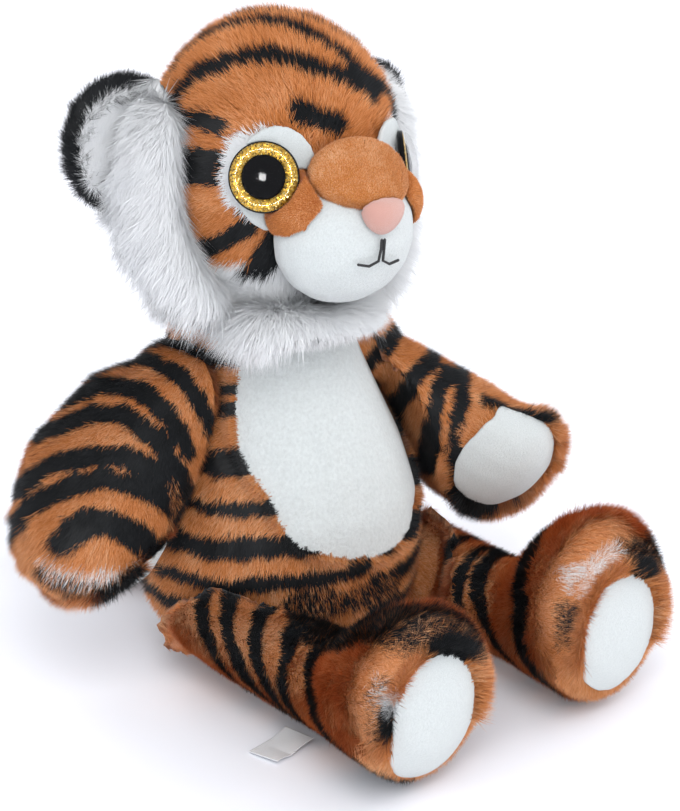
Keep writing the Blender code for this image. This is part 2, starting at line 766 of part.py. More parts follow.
def make_ruffs(form, pivot, body):
    """The long pile round the cheeks and under the chin, clear of the body wherever the head turns."""
    neck, below = seam_plane(-RUFF_DROP)
    room = grown(body, SWING_CLEARANCE)
    room.transform(HEAD_TURN.inverted())
    chin_line = [(CHIN_TURN * share, CHIN_DROP) for share in CHIN_LINE_SHARES]
    chin = ruff_form(chin_line, CHIN_HALF_THICKNESS, CHIN_HALF_WIDTH)
    taken = [grown(form, GAP), grown(muzzle_form()[0], GAP)]

    def clear_of_body(mesh):
        axis = -below
        centre = HEAD_TURN.inverted() @ Vector((0, 0, NECK_HEIGHT))
        return swept_away(mesh, room, centre, axis, -HEAD_TRIM, HEAD_TRIM)

    chin_ruff = clear_of_body(without(cut_flat(chin.copy(), neck, below), *taken))
    head_piece("chin_ruff", chin_ruff, "white_pile", pivot)
    for side, sign in SIDES.items():
        turns = zip(CHEEK_TURNS, CHEEK_DROPS)
        places = [(sign * math.radians(turn), math.radians(drop)) for turn, drop in turns]
        cheek = ruff_form(places, CHEEK_HALF_THICKNESS, CHEEK_HALF_WIDTH)
        turn = ear_turn(side)
        centre = HEAD_CENTRE + Vector((sign * EAR_SPREAD, EAR_BACK, EAR_RISE))
        ear = ball(centre, (EAR_WIDTH / 2 + GAP, EAR_THICKNESS / 2 + GAP, EAR_HEIGHT / 2 + GAP), turn)
        cheek = without(cut_flat(cheek, neck, below), *taken, grown(chin, GAP), ear, patch_zone(side))
        head_piece(f"cheek_ruff_{side}", clear_of_body(cheek), "white_pile", pivot)


def seam_plane(margin):
    """A point on the level of the neck seam and the way down, in the untilted head."""
    back = HEAD_TURN.inverted()
    return back @ Vector((0, 0, NECK_HEIGHT + margin)), back.to_3x3() @ -UP


def make_head(pivot, body):
    """The head's skin and filling and all that is sewn or fastened to them."""
    form = head_form()
    inside = head_form(INSIDE_AROUND)
    seam, below = seam_plane(GAP)
    solid = cut_flat(form.copy(), seam, below)
    holes = [eye_hole(side) for side in SIDES]
    rooms = [eye_room(side) for side in SIDES]
    skin = without(solid, grown(inside, -PILE_WALL), *holes, *rooms)
    head_piece("head_skin", skin, "orange_pile", pivot)
    filling = cut_flat(grown(inside, -PILE_WALL - GAP), seam, below)
    filling = without(filling, *holes, *rooms, *[washer_pocket(side) for side in SIDES])
    head_piece("head_filling", filling, "polyester_filling", pivot)
    make_muzzle(form, pivot)
    for side in SIDES:
        make_eye(side, pivot)
        head_piece(f"eye_patch_{side}", patch_form(side, form), "white_pile", pivot)
        make_ear(side, form, pivot)
    make_ruffs(form, pivot, body)


def arm_axis(side):
    """The way out along the shoulder's axis."""
    sign = SIDES[side]
    return Vector(
        (
            sign * math.cos(ARM_AXIS_RISE) * math.cos(ARM_AXIS_FORWARD),
            -math.cos(ARM_AXIS_RISE) * math.sin(ARM_AXIS_FORWARD),
            math.sin(ARM_AXIS_RISE),
        )
    )


def arm_frame(side):
    """The arm's shoulder, its direction down the arm, and its thin and wide directions."""
    sign = SIDES[side]
    shoulder = Vector((sign * SHOULDER_SPREAD, -SHOULDER_FORWARD, SHOULDER_HEIGHT))
    axis = arm_axis(side)
    swing = Quaternion(axis, -sign * ARM_SWING[side])
    down = swing @ Vector((sign * math.sin(ARM_OUT[side]), 0, -math.cos(ARM_OUT[side])))
    thick = (axis - down * axis.dot(down)).normalized()
    wide = thick.cross(down).normalized()
    wide = wide if wide.dot(swing @ FRONT) > 0 else -wide
    return shoulder, down, thick, wide


def arm_form(side, count=AROUND):
    """The arm's form, from inside the body to the paw."""
    shoulder, down, thick, wide = arm_frame(side)
    total = ARM_ABOVE + ARM_LENGTH
    dome_start = ARM_ABOVE / total
    dome_end = ARM_THICKNESS / 2 / total
    rings = []
    for place in loft_places(dome_start, dome_end):
        width, thickness = smooth_share(ARM_PROFILE_SHARES, place)
        dome = dome_share(place, dome_start, dome_end, 2.2)
        centre = shoulder + down * (place * total - ARM_ABOVE)
        half_width = ARM_WIDTH / 2 * width * dome
        half_thickness = ARM_THICKNESS / 2 * thickness * dome
        rings.append(ellipse(centre, wide, thick, half_width, half_thickness, count))
    return closed_loft(rings, shoulder - down * ARM_ABOVE, shoulder + down * ARM_LENGTH)


def make_arm(side, pivot, body):
    """An arm that hangs out from the shoulder and is swung forward about the shoulder's axis."""
    shoulder, down, thick, wide = arm_frame(side)
    form = arm_form(side)
    inside = arm_form(side, INSIDE_AROUND)
    low, high = (limit - ARM_SWING[side] for limit in ARM_TRIM)
    turn_axis = -SIDES[side] * arm_axis(side)

    def trimmed(mesh):
        return swept_away(mesh, grown(body, SWING_CLEARANCE), shoulder, turn_axis, low, high)

    solid = trimmed(form.copy())
    turn = PALM_TURN[side]
    facing = (-thick * math.cos(turn) + wide * math.sin(turn) + down * PALM_TIPWARD_SHARE).normalized()
    paw = shoulder + down * (ARM_LENGTH - ARM_THICKNESS / 2)
    across = facing.cross(down).normalized()
    up = facing.cross(across)
    shell = without(solid, grown(inside, -PILE_WALL))
    cutter = disc(paw, across, up, PALM_RADIUS, OVERRUN, facing)
    room = disc(paw, across, up, PALM_RADIUS + GAP, OVERRUN, facing)
    piece(f"arm_skin_{side}", without(shell, room), "orange_pile", pivot)
    thin = without(solid, grown(form, -PAD_WALL))
    piece(f"palm_pad_{side}", combined(thin, cutter, "INTERSECT"), "white_pile", pivot)
    piece(f"arm_filling_{side}", trimmed(grown(inside, -PILE_WALL - GAP)), "polyester_filling", pivot)


def leg_frame(side):
    """The leg's hip, its direction along the floor and the direction across it."""
    sign = SIDES[side]
    hip = Vector((sign * HIP_SPREAD, -HIP_FORWARD, LEG_HEIGHT / 2 - SEAT_CUT))
    along = Quaternion(UP, sign * LEG_SPLAY[side]) @ FRONT
    return hip, along, UP.cross(along)


def leg_form(side, count=AROUND):
    """A leg lying on the floor, with its foot turned up, and the two ends of its middle line."""
    hip, along, across = leg_frame(side)
    total = LEG_BEHIND + LEG_LENGTH
    dome_start = LEG_BEHIND / total
    dome_end = FOOT_WIDTH / 4 / total
    ends = []
    rings = []
    for place in (0.0, *loft_places(dome_start, dome_end, MIDDLE_RINGS + 2), 1.0):
        foot = smooth_share(LEG_PROFILE_SHARES, place)[0]
        half_width = (LEG_WIDTH + (FOOT_WIDTH - LEG_WIDTH) * foot) / 2
        half_height = (LEG_HEIGHT + (FOOT_HEIGHT - LEG_HEIGHT) * foot) / 2
        dome = dome_share(place, dome_start, dome_end, 2.4)
        centre = hip + along * (place * total - LEG_BEHIND)
        centre.z = half_height - SEAT_CUT + LEG_RISE * (1 - place) ** 2
        if 0 < place < 1:
            rings.append(ellipse(centre, across, UP, half_width * dome, half_height * dome, count))
        else:
            ends.append(centre)
    return closed_loft(rings, *ends), ends


def make_leg(side, pivot, body):
    """A leg with its sole pad to the front."""
    hip, along, across = leg_frame(side)
    form, ends = leg_form(side)
    inside = leg_form(side, INSIDE_AROUND)[0]

    def trimmed(mesh):
        return swept_away(mesh, grown(body, GAP), hip, UP, -LEG_TRIM, LEG_TRIM)

    solid = trimmed(cut_flat(form.copy(), Vector(), -UP))
    sole = ends[1] - along * SOLE_WIDTH / 2
    cutter = prism(ellipse(sole, across, UP, SOLE_WIDTH / 2, SOLE_HEIGHT / 2), along * OVERRUN)
    room = prism(ellipse(sole, across, UP, SOLE_WIDTH / 2 + GAP, SOLE_HEIGHT / 2 + GAP), along * OVERRUN)
    cavity = cut_flat(grown(inside, -PILE_WALL), Vector((0, 0, PILE_WALL)), -UP)
    piece(f"leg_skin_{side}", without(solid, cavity, room), "orange_pile", pivot)
    thin = without(solid, grown(form, -PAD_WALL))
    piece(f"sole_pad_{side}", combined(thin, cutter, "INTERSECT"), "white_pile", pivot)
    filling = cut_flat(grown(inside, -PILE_WALL - GAP), Vector((0, 0, PILE_WALL + GAP)), -UP)
    piece(f"leg_filling_{side}", trimmed(filling), "polyester_filling", pivot)


def make_label(pivot):
    """The blank label that lies on the floor, sewn to the under seam of the right leg."""
    hip, along, across = leg_frame("right")
    side = -across if across.x > 0 else across
    corner = hip + along * LABEL_PLACE + side * LABEL_IN
    corner.z = GAP
    outline = [
        corner,
        corner + side * LABEL_LENGTH,
        corner + side * LABEL_LENGTH + along * LABEL_WIDTH,
        corner + along * LABEL_WIDTH,
    ]
    piece("sewn_label", prism(outline, UP * LABEL_THICKNESS), "label_satin", pivot)


def make_thread(pivot):
    """The loose end of white sewing thread at the right sole's seam."""
    hip, along, across = leg_frame("right")
    side = across if across.x > 0 else -across
    start = hip + along * (LEG_LENGTH - FOOT_WIDTH / 4) + side * (FOOT_WIDTH / 2 + GAP + THREAD_RADIUS)
    start.z = FOOT_HEIGHT / 2
    points = [
        start
        + (side * share - UP * (share * share)) * THREAD_LENGTH / 2
        + along * (THREAD_LENGTH * share / 3)
        for share in THREAD_SHARES
    ]
    piece("seam_thread", tube(points, THREAD_RADIUS), "white_thread", pivot)


def tail_root():
    """The middle of the tail where it is sewn to the body."""
    return Vector((0, TAIL_START, TAIL_WIDTH / 2 - SEAT_CUT))


def tail_form(count):
    """The tail's form, a round rod with closed ends."""
    root = tail_root()
    along = Quaternion(UP, TAIL_TURN) @ -FRONT
    across = UP.cross(along)
    dome = TAIL_WIDTH / 2 / TAIL_LENGTH
    rings = []
    for place in loft_places(dome, dome):
        half = TAIL_WIDTH / 2 * dome_share(place, dome, dome)
        rings.append(ellipse(root + along * (place * TAIL_LENGTH), across, UP, half, half, count))
    return closed_loft(rings, root, root + along * TAIL_LENGTH)


def make_tail(pivot, body):
    """The tail on the floor behind the seat."""
    root = tail_root()
    form = tail_form(BALL_AROUND)
    inside = tail_form(INSIDE_AROUND)

    def trimmed(mesh):
        return swept_away(mesh, grown(body, GAP), root, UP, -TAIL_TRIM, TAIL_TRIM)

    solid = trimmed(cut_flat(form.copy(), Vector(), -UP))
    cavity = cut_flat(grown(inside, -PILE_WALL), Vector((0, 0, PILE_WALL)), -UP)
    piece("tail_skin", without(solid, cavity), "orange_pile", pivot)
    filling = cut_flat(grown(inside, -PILE_WALL - GAP), Vector((0, 0, PILE_WALL + GAP)), -UP)
    piece("tail_filling", trimmed(filling), "polyester_filling", pivot)


def main():
    clear_scene()
    base = empty("body_pivot", Vector())
    body = make_body(base)
    head = empty("head_pivot", Vector((0, 0, NECK_HEIGHT)), base)
    make_head(head, body)
    for side, sign in SIDES.items():
        shoulder = Vector((sign * SHOULDER_SPREAD, -SHOULDER_FORWARD, SHOULDER_HEIGHT))
        make_arm(side, empty(f"arm_pivot_{side}", shoulder, base), body)
        leg = empty(f"leg_pivot_{side}", leg_frame(side)[0], base)
        make_leg(side, leg, body)
        if side == "right":
            make_label(leg)
            make_thread(leg)
    make_tail(empty("tail_pivot", tail_root(), base), body)
    bpy.context.view_layer.update()


if __name__ == "__main__":
    main()
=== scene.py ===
import json
import math

import bmesh
import bpy
import numpy as np
from mathutils import Matrix, Vector
from mathutils.bvhtree import BVHTree


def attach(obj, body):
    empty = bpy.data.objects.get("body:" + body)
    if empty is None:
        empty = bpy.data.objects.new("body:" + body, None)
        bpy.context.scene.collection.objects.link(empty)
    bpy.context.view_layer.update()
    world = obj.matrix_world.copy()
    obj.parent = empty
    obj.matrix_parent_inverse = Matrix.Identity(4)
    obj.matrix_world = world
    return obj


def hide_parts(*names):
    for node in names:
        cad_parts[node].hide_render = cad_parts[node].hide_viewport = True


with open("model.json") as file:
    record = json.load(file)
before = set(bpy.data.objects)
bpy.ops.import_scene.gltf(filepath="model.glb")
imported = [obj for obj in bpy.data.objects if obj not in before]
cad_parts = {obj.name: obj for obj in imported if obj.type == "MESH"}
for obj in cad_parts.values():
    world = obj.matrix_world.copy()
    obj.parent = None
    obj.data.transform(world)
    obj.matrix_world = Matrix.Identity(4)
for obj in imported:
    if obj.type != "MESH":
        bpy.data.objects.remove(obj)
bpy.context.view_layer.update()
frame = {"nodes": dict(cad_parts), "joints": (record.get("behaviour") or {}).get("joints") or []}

bl_info = {
    "name": "Plush tiger",
    "version": (1, 0, 0),
    "blender": (4, 5, 0),
    "location": "View3D > Sidebar > Plush tiger",
    "description": "Dresses the packed plush tiger in pile, plush, eyes and stitching",
    "category": "Object",
}

MM_PER_M = 1000
SIDES = {"right": -1, "left": 1}
HEAD_CENTRE = np.array((0.0, -0.0106, 0.1815))
HEAD_TILT = math.radians(8)

# The photo's view: the ways to its camera, to its right and up in it
TOWARDS_VIEW = np.array((-0.592, -0.705, 0.391))
VIEW_RIGHT = np.array((0.766, -0.643, 0.0))
VIEW_UP = np.array((0.251, 0.300, 0.921))

# The middles of the coat's three cells across the pile's palette, half a cell, and where two of them start. A
# strand's tone strays by up to the reach, and white is full from its share of half a cell
BLACK_CELL, ORANGE_CELL, WHITE_CELL = 0.16, 0.5, 0.84
CELL_HALF = 0.13
ORANGE_START, WHITE_START = 0.34, 0.67
TONE_REACH = 0.11
WHITE_FULL = 0.4

# Marks as a half width in millimetres and a line of places. On the head the places are from its centre,
# before its tilt
CROWN_STRIPES = (
    (1.6, (
        (-36, 22, 30), (-20, 12, 46), (-10, 4, 50), (-1, -2, 51), (8, -9, 49), (19, -13, 43), (30, -12, 35),
        (39, -6, 25),
    )),
    (2.9, (
        (-40, 14, 25), (-29, 12, 37), (-22, 4, 44), (-15, -3, 48), (-7, -10, 49), (4, -21, 43), (14, -27, 33),
        (22, -25, 29), (30, -21, 27),
    )),
    (3.4, (
        (-42, 1, 21), (-41, 0, 25), (-37, -3, 31), (-30, -10, 37), (-19, -18, 40), (-9, -24, 38),
        (1, -29, 35), (12, -30, 30), (17, -30, 27),
    )),
    (3.9, ((-16, -31, 24), (-10, -34, 22), (-3, -36, 20))),
    (4.5, ((33, -22, 21), (38, -18, 14), (42, -12, 8))),
)
FACE_STRIPES = (
    (2.8, ((44, -3, 17), (41, -11, 19), (37, -18, 18))),
    (6.2, ((46, -6, 3), (42, -15, 5), (40, -19, 5))),
    (1.0, ((38, -23, -4), (35, -25, -8), (31, -28, -12))),
    (3.4, ((31, -28, -12), (34, -25, -16), (38, -19, -21), (40, -15, -23))),
    (4.8, ((22, -32, -19), (24, -31, -25), (26, -28, -30))),
)

# On the torso the bands are heights, and on a limb they are places across it and along it from its joint
TORSO_BANDS = (
    (3.4, 119.5), (2.2, 108), (2.7, 101), (4.3, 85), (2.8, 69.5), (4.0, 56), (3.0, 43), (3.4, 31), (3.0, 18),
)
BELLY_OUTLINE = (
    (-22, 126), (-25, 115), (-28, 105), (-31, 95), (-32.5, 87), (-32, 80), (-30, 74), (-29, 68), (-28, 62),
    (-24, 56), (-17, 52.5), (-8, 49), (4, 46.5), (16, 46.5), (25, 50), (34, 57), (40, 64), (42, 72), (41, 80),
    (38.5, 89), (35, 101), (31, 112), (27, 126),
)
LIMB_BANDS = {
    "arm_right": (
        (3.6, ((32, -2), (14, -11), (-10, -12), (-20, -10))),
        (3.2, ((36, 16), (24, 5), (17, 0), (9, 0), (0, 1), (-10, 6), (-20, 12))),
        (3.6, ((36, 28), (24, 15), (11, 11), (-2, 15), (-14, 22))),
        (3.7, ((36, 41), (22, 27), (12, 22), (-5, 25), (-20, 33))),
        (3.7, ((36, 66), (25, 49), (16, 41), (5, 35), (-12, 33), (-24, 34))),
        (4.0, ((30, 80), (24, 64), (16, 53), (6, 45), (-6, 42), (-18, 41), (-28, 43))),
        (5.0, ((8, 70), (4, 61), (-3, 57), (-14, 56), (-24, 59))),
    ),
    "arm_left": (
        (3.2, ((-20, 14), (-8, 12), (6, 14), (20, 20))),
        (3.3, ((-16, 29), (-6, 27), (6, 30), (16, 36))),
        (3.2, ((-14, 36), (-6, 37), (1, 41), (8, 46), (18, 54))),
        (3.0, ((-20, 40), (-8, 46), (2, 52), (10, 63), (18, 74))),
    ),
    "leg_right": (
        (3.3, ((-22, -8), (-12, -1), (-3, 6), (5, 13), (13, 18), (24, 25))),
        (3.3, ((-24, 4), (-14, 10), (-1, 21), (8, 29), (14, 35), (24, 44))),
        (3.1, ((-26, 18), (-12, 27), (-2, 34), (6, 40), (13, 44), (24, 50))),
        (3.1, ((-36, 30), (-15, 40), (-8, 46), (3, 49), (12, 52), (24, 56))),
        (4.0, ((-10, 58), (-5, 62), (3, 71), (12, 74), (17, 82), (18, 100))),
    ),
    "leg_left": (
        (2.6, ((-24, 26), (-10, 26), (0, 27), (14, 30))),
        (2.7, ((-26, 36), (-17, 37), (-8, 40), (0, 43), (14, 50))),
        (3.4, ((-28, 40), (-13, 46), (-4, 51), (6, 60), (16, 70))),
        (4.2, ((-32, 71), (-16, 77), (-6, 82), (2, 83), (16, 88))),
    ),
}

# Mixed fur under the belly and on the paws and feet: a half width in millimetres, the share of strands in the
# mark's colour, and a line of places in the whole tiger
TORSO_MARKS = ((6.0, 0.65, ((-27, -55, 38), (-10, -62, 36), (12, -60, 33))),)
DARK_MARKS = {
    "arm_right": (
        (6.5, 0.60, ((-106, -14, 58), (-98, -27, 55), (-88, -33, 52), (-72, -36, 53))),
        (4.0, 0.62, ((-60, -33, 84), (-57, -32, 70), (-64, -34, 58))),
    ),
    "arm_left": (
        (4.4, 0.75, ((62, -56, 92), (71, -60, 89), (84, -62, 82))),
        (4.0, 0.75, ((48, -50, 52), (59, -55, 48), (72, -60, 50))),
    ),
    "leg_right": (
        (12.0, 0.72, ((-28, -66, 42), (-38, -84, 46), (-47, -106, 57), (-43, -130, 63), (-32, -134, 60),
                      (-14, -136, 54))),
        (4.5, 0.60, ((-64, -136, 50), (-60, -138, 42), (-58, -140, 34))),
    ),
    "leg_left": (
        (4.2, 0.90, ((22, -135, 48), (22, -137, 36))),
        (9.0, 0.75, ((58, -134, 58), (70, -128, 50), (74, -118, 40))),
    ),
}
PALE_MARKS = {
    "arm_right": ((4.5, 0.55, ((-104, -18, 62), (-94, -30, 60), (-80, -35, 56))),),
    "arm_left": ((4.0, 0.40, ((84, -62, 60), (86, -60, 74))),),
    "leg_right": ((5.0, 0.55, ((-62, -136, 46), (-56, -140, 40))),),
    "leg_left": ((6.0, 0.60, ((30, -131, 57), (48, -134, 61))),),
}

# The edge of a stripe and of a mixed mark, in millimetres from full colour to none
STRIPE_EDGE, MARK_EDGE = 1.2, 3.0

# How each pad lies in its coat: its size against the solid's, and how far it sits to the photo's right and
# up, in millimetres
PADS = {
    "palm_pad_left": (0.95, 6.5, -1.0),
    "sole_pad_right": (0.90, 0.0, -1.0),
    "sole_pad_left": (0.88, 1.0, 1.0),
}
PAD_THICKNESS_REACH = 0.010
FAR_OFF = 1.0

# How a coat lies: the share by which it stands up, how far from a bare piece it turns away, its soft edges
# beside one and at the floor, how low a strand reaches, how clear it stays of an eye, and how far its top is
# above its ground, where a stripe is seen
STAND = 0.52
TURN_REACH = 0.008
COAT_EDGE = 0.0015
FLOOR_EDGE = 0.003
FLOOR_GAP = 0.0003
CLEAR_EDGE, CLEAR_SOFT = 0.0021, 0.0008
HEAD_TOP, LIMB_TOP = 0.0026, 0.0030

# About how many strands stand on each piece
STRANDS = {
    "torso": 180000, "belly_rim": 45000, "head": 190000, "bridge": 30000, "lobe": 8000, "ear": 44000,
    "lining": 34000, "tail": 50000,
}

# For each kind of limb: its pad, its strands, those on the pad's rim, two seeds and its tone
LIMB_COATS = {
    "arm": ("palm", 125000, 15000, 19, 23, -0.02),
    "leg": ("sole", 150000, 18000, 31, 37, 0.03),
}
LIMB_FLUFF = 26000


class TigerSizes(bpy.types.PropertyGroup):
    """Sizes of the tiger's coat and cloth."""

    form_voxel: bpy.props.FloatProperty(
        name="Form voxel", description="Size of the voxels that a stuffed form is remeshed with",
        default=0.0019, unit="LENGTH",
    )
    strand_width: bpy.props.FloatProperty(
        name="Strand width", description="Width of a strand of pile at its root",
        default=0.00036, unit="LENGTH",
    )
    plush_width: bpy.props.FloatProperty(
        name="Fine strand width", description="Width of a fine strand at its root", default=0.00026,
        unit="LENGTH",
    )
    velboa_strand: bpy.props.FloatProperty(
        name="Velboa strand", description="Length of the strands on the nose's bridge and its lobes",
        default=0.0010, unit="LENGTH",
    )
    head_pile: bpy.props.FloatProperty(
        name="Head pile", description="Length of the pile on the head", default=0.0042, unit="LENGTH",
    )
    body_pile: bpy.props.FloatProperty(
        name="Body pile", description="Length of the pile on the body", default=0.0048, unit="LENGTH",
    )
    limb_pile: bpy.props.FloatProperty(
        name="Limb pile", description="Length of the pile on the limbs and the tail",
        default=0.0052, unit="LENGTH",
    )
    ruff_pile: bpy.props.FloatProperty(
        name="Ruff pile", description="Length of the pile of the ruff", default=0.0140, unit="LENGTH",
    )
    fluff_pile: bpy.props.FloatProperty(
        name="Fluff pile", description="Length of the loose tufts on the paws and feet", default=0.0080,
        unit="LENGTH",
    )


class TigerColours(bpy.types.PropertyGroup):
    """Colours of the tiger's coat and cloth, in linear light."""

    orange: bpy.props.FloatVectorProperty(
        name="Orange", description="Orange of the coat", subtype="COLOR", default=(0.66, 0.228, 0.062),
    )
    deep_orange: bpy.props.FloatVectorProperty(
        name="Deep orange", description="Darkest orange of the coat", subtype="COLOR",
        default=(0.49, 0.145, 0.028),
    )
    tan: bpy.props.FloatVectorProperty(
        name="Tan", description="Pale tips of the orange coat", subtype="COLOR", default=(0.86, 0.48, 0.26),
    )
    black: bpy.props.FloatVectorProperty(
        name="Black", description="Black of the coat", subtype="COLOR", default=(0.004, 0.005, 0.006),
    )
    grey: bpy.props.FloatVectorProperty(
        name="Grey", description="Tips of the black coat", subtype="COLOR", default=(0.020, 0.022, 0.025),
    )
    white: bpy.props.FloatVectorProperty(
        name="White", description="White of the ruff", subtype="COLOR", default=(0.82, 0.83, 0.84),
    )
    shade_white: bpy.props.FloatVectorProperty(
        name="Shaded white", description="White at the roots", subtype="COLOR", default=(0.75, 0.765, 0.78),
    )
    plush: bpy.props.FloatVectorProperty(
        name="Plush", description="White of the belly and pads", subtype="COLOR",
        default=(0.66, 0.700, 0.700),
    )
    velboa: bpy.props.FloatVectorProperty(
        name="Bridge", description="Orange of the nose's bridge", subtype="COLOR",
        default=(0.70, 0.270, 0.060),
    )
    # Painted shade: the lobes are the bridge's velboa, darkened as they lie in shade beside it.
    lobe: bpy.props.FloatVectorProperty(
        name="Lobes", description="Deep orange beside the nose's bridge", subtype="COLOR",
        default=(0.47, 0.120, 0.018),
    )
    nose: bpy.props.FloatVectorProperty(
        name="Nose", description="Pink of the nose", subtype="COLOR", default=(0.68, 0.370, 0.310),
    )
    gold: bpy.props.FloatVectorProperty(
        name="Gold", description="Gold of the eyes", subtype="COLOR", default=(0.74, 0.42, 0.045),
    )


class TigerStage(bpy.types.PropertyGroup):
    """The floor, the lights and the camera."""

    floor: bpy.props.FloatVectorProperty(
        name="Floor", description="Colour of the floor", subtype="COLOR", default=(0.93, 0.945, 1.0),
    )
    key_power: bpy.props.FloatProperty(
        name="Key light", description="Power of the key light in watts", default=6.0, unit="POWER",
    )
    fill_power: bpy.props.FloatProperty(
        name="Fill light", description="Power of the fill light in watts", default=3.5, unit="POWER",
    )
    sky_strength: bpy.props.FloatProperty(
        name="Sky", description="Strength of the pale surround", default=0.95,
    )


def sizes():
    return bpy.context.scene.tiger_sizes


def colours():
    return bpy.context.scene.tiger_colours


# Node graphs


class Wire:
    """A node socket's value, so that node maths reads as plain expressions."""

    def __init__(self, graph, socket):
        self.graph = graph
        self.socket = socket

    def with_other(self, operation, first, second):
        return self.graph.wire("ShaderNodeMath", {"operation": operation}, {0: first, 1: second})

    def __add__(self, other):
        return self.with_other("ADD", self, other)

    __radd__ = __add__

    def __sub__(self, other):
        return self.with_other("SUBTRACT", self, other)

    def __rsub__(self, other):
        return self.with_other("SUBTRACT", other, self)

    def __mul__(self, other):
        return self.with_other("MULTIPLY", self, other)

    __rmul__ = __mul__

    def __gt__(self, other):
        return self.with_other("GREATER_THAN", self, other)

    def ranged(self, low, high, new_low=0.0, new_high=1.0):
        """The value spread from one range to another, held at the ends."""
        return self.graph.wire("ShaderNodeMapRange", {}, {0: self, 1: low, 2: high, 3: new_low, 4: new_high})


class Graph:
    """A node tree that is filled by plain calls."""

    def __init__(self, tree):
        self.tree = tree

    def node(self, kind, settings=None, inputs=None):
        made = self.tree.nodes.new(kind)
        for key, value in (settings or {}).items():
            if key == "stops":
                self.set_stops(made.color_ramp, value)
            else:
                setattr(made, key, value)
        for key, value in (inputs or {}).items():
            if isinstance(value, Wire):
                self.tree.links.new(value.socket, made.inputs[key])
            else:
                made.inputs[key].default_value = value
        return made

    def wire(self, kind, settings=None, inputs=None, output=0):
        return Wire(self, self.node(kind, settings, inputs).outputs[output])

    @staticmethod
    def set_stops(ramp, stops):
        while len(ramp.elements) < len(stops):
            ramp.elements.new(1.0)
        for element, (place, colour) in zip(ramp.elements, stops):
            element.position = place
            element.color = (*colour, 1.0)

    def mix(self, factor, first, second, blend="MIX"):
        """Two colours mixed by a factor."""
        first, second = (item if isinstance(item, Wire) else (*item, 1.0) for item in (first, second))
        settings = {"data_type": "RGBA", "blend_type": blend}
        return self.wire("ShaderNodeMix", settings, {0: factor, 6: first, 7: second}, 2)

    def noise(self, scale, detail=3.0, rough=0.55, output=0, vector=None):
        inputs = {"Scale": scale, "Detail": detail, "Roughness": rough}
        if vector:
            inputs["Vector"] = vector
        return self.wire("ShaderNodeTexNoise", {}, inputs, output)

    def vectors(self, operation, first, second=None):
        """A sum, difference, multiple or unit of vectors."""
        key = "Scale" if operation == "SCALE" else 1
        inputs = {0: first} if second is None else {0: first, key: second}
        return self.wire("ShaderNodeVectorMath", {"operation": operation}, inputs)

    def bumped(self, height, strength, distance):
        return self.wire("ShaderNodeBump", {}, {"Height": height, "Strength": strength, "Distance": distance})


def new_material(name, build):
    """A material whose Principled shader is filled in by the build call."""
    name = f"{name}_finish"
    found = bpy.data.materials.get(name)
    if found:
        return found
    made = bpy.data.materials.new(name)
    made.use_nodes = True
    tree = made.node_tree
    tree.nodes.clear()
    graph = Graph(tree)
    values = build(graph, graph.wire("ShaderNodeTexCoord", output=3))
    surface = values.pop("surface", None)
    if surface is None:
        surface = graph.wire("ShaderNodeBsdfPrincipled", {}, values)
    graph.node("ShaderNodeOutputMaterial", {}, {0: surface})
    return made


def shaded(colour, share):
    """A colour darkened to a share of itself."""
    return tuple(channel * share for channel in colour)


def strand_finish(graph, place):
    """Pile strands: the palette runs across the map, and each strand runs up it from root to tip, darkened
    towards its root as painted shade.
    """
    tones = colours()
    mapped = graph.wire("ShaderNodeUVMap", {"uv_map": "OFBake"})
    parts = graph.node("ShaderNodeSeparateXYZ", {}, {0: mapped})
    across, up = Wire(graph, parts.outputs[0]), Wire(graph, parts.outputs[1])
    white_stops = (
        (WHITE_CELL - CELL_HALF, tones.shade_white), (WHITE_CELL + CELL_HALF * WHITE_FULL, tones.white),
    )
    tips = graph.wire("ShaderNodeValToRGB", {"stops": (
        (BLACK_CELL - CELL_HALF, tones.black), (BLACK_CELL + CELL_HALF, tones.grey),
        (ORANGE_CELL - CELL_HALF, tones.deep_orange), (ORANGE_CELL, tones.orange),
        (ORANGE_CELL + CELL_HALF, tones.tan), *white_stops,
    )}, {0: across})
    tips = graph.mix((across > ORANGE_START) * up.ranged(0.55, 1.0, 0.0, 0.35), tips, tones.tan)
    tips = graph.mix(
        across > WHITE_START, tips, graph.wire("ShaderNodeValToRGB", {"stops": white_stops}, {0: across}),
    )
    # Painted shade: each strand darkens towards its root, where the strands shade each other; white strands
    # darken less.
    shade = up.ranged(0.0, 0.75, 0.60, 1.0) + (across > WHITE_START) * up.ranged(0.0, 0.75, 0.33, 0.0)
    grey = graph.wire("ShaderNodeCombineColor", {}, {0: shade, 1: shade, 2: shade})
    return {
        "Base Color": graph.mix(1.0, tips, grey, "MULTIPLY"),
        "Roughness": across.ranged(0.2, 0.5, 0.55, 0.85),
        "Sheen Weight": 0.04,
        "Sheen Roughness": 0.4,
        "Specular IOR Level": 0.18,
    }


def coat_finish(graph, place):
    """The woven ground that the pile stands on, coloured like the pile above it and darker, as painted shade
    under the pile.
    """
    tones = colours()
    dark = graph.wire("ShaderNodeAttribute", {"attribute_name": "dark"}, output=2)
    pale = graph.wire("ShaderNodeAttribute", {"attribute_name": "pale"}, output=2)
    fuzz = graph.noise(420.0, 4.0)
    # Painted shade: the ground takes deeper orange and the shaded white, as it lies in shade under the pile.
    ground = graph.mix(fuzz.ranged(0.35, 0.7), tones.deep_orange, tones.orange)
    ground = graph.mix((pale + fuzz * 0.3).ranged(0.55, 0.75), ground, tones.shade_white)
    ground = graph.mix((dark + fuzz * 0.3).ranged(0.55, 0.75), ground, tones.black)
    return {
        "Base Color": ground, "Roughness": fuzz.ranged(0.2, 0.8, 0.8, 1.0), "Sheen Weight": 0.3,
        "Normal": graph.bumped(graph.noise(900.0, 2.0), 0.6, 0.0006),
    }


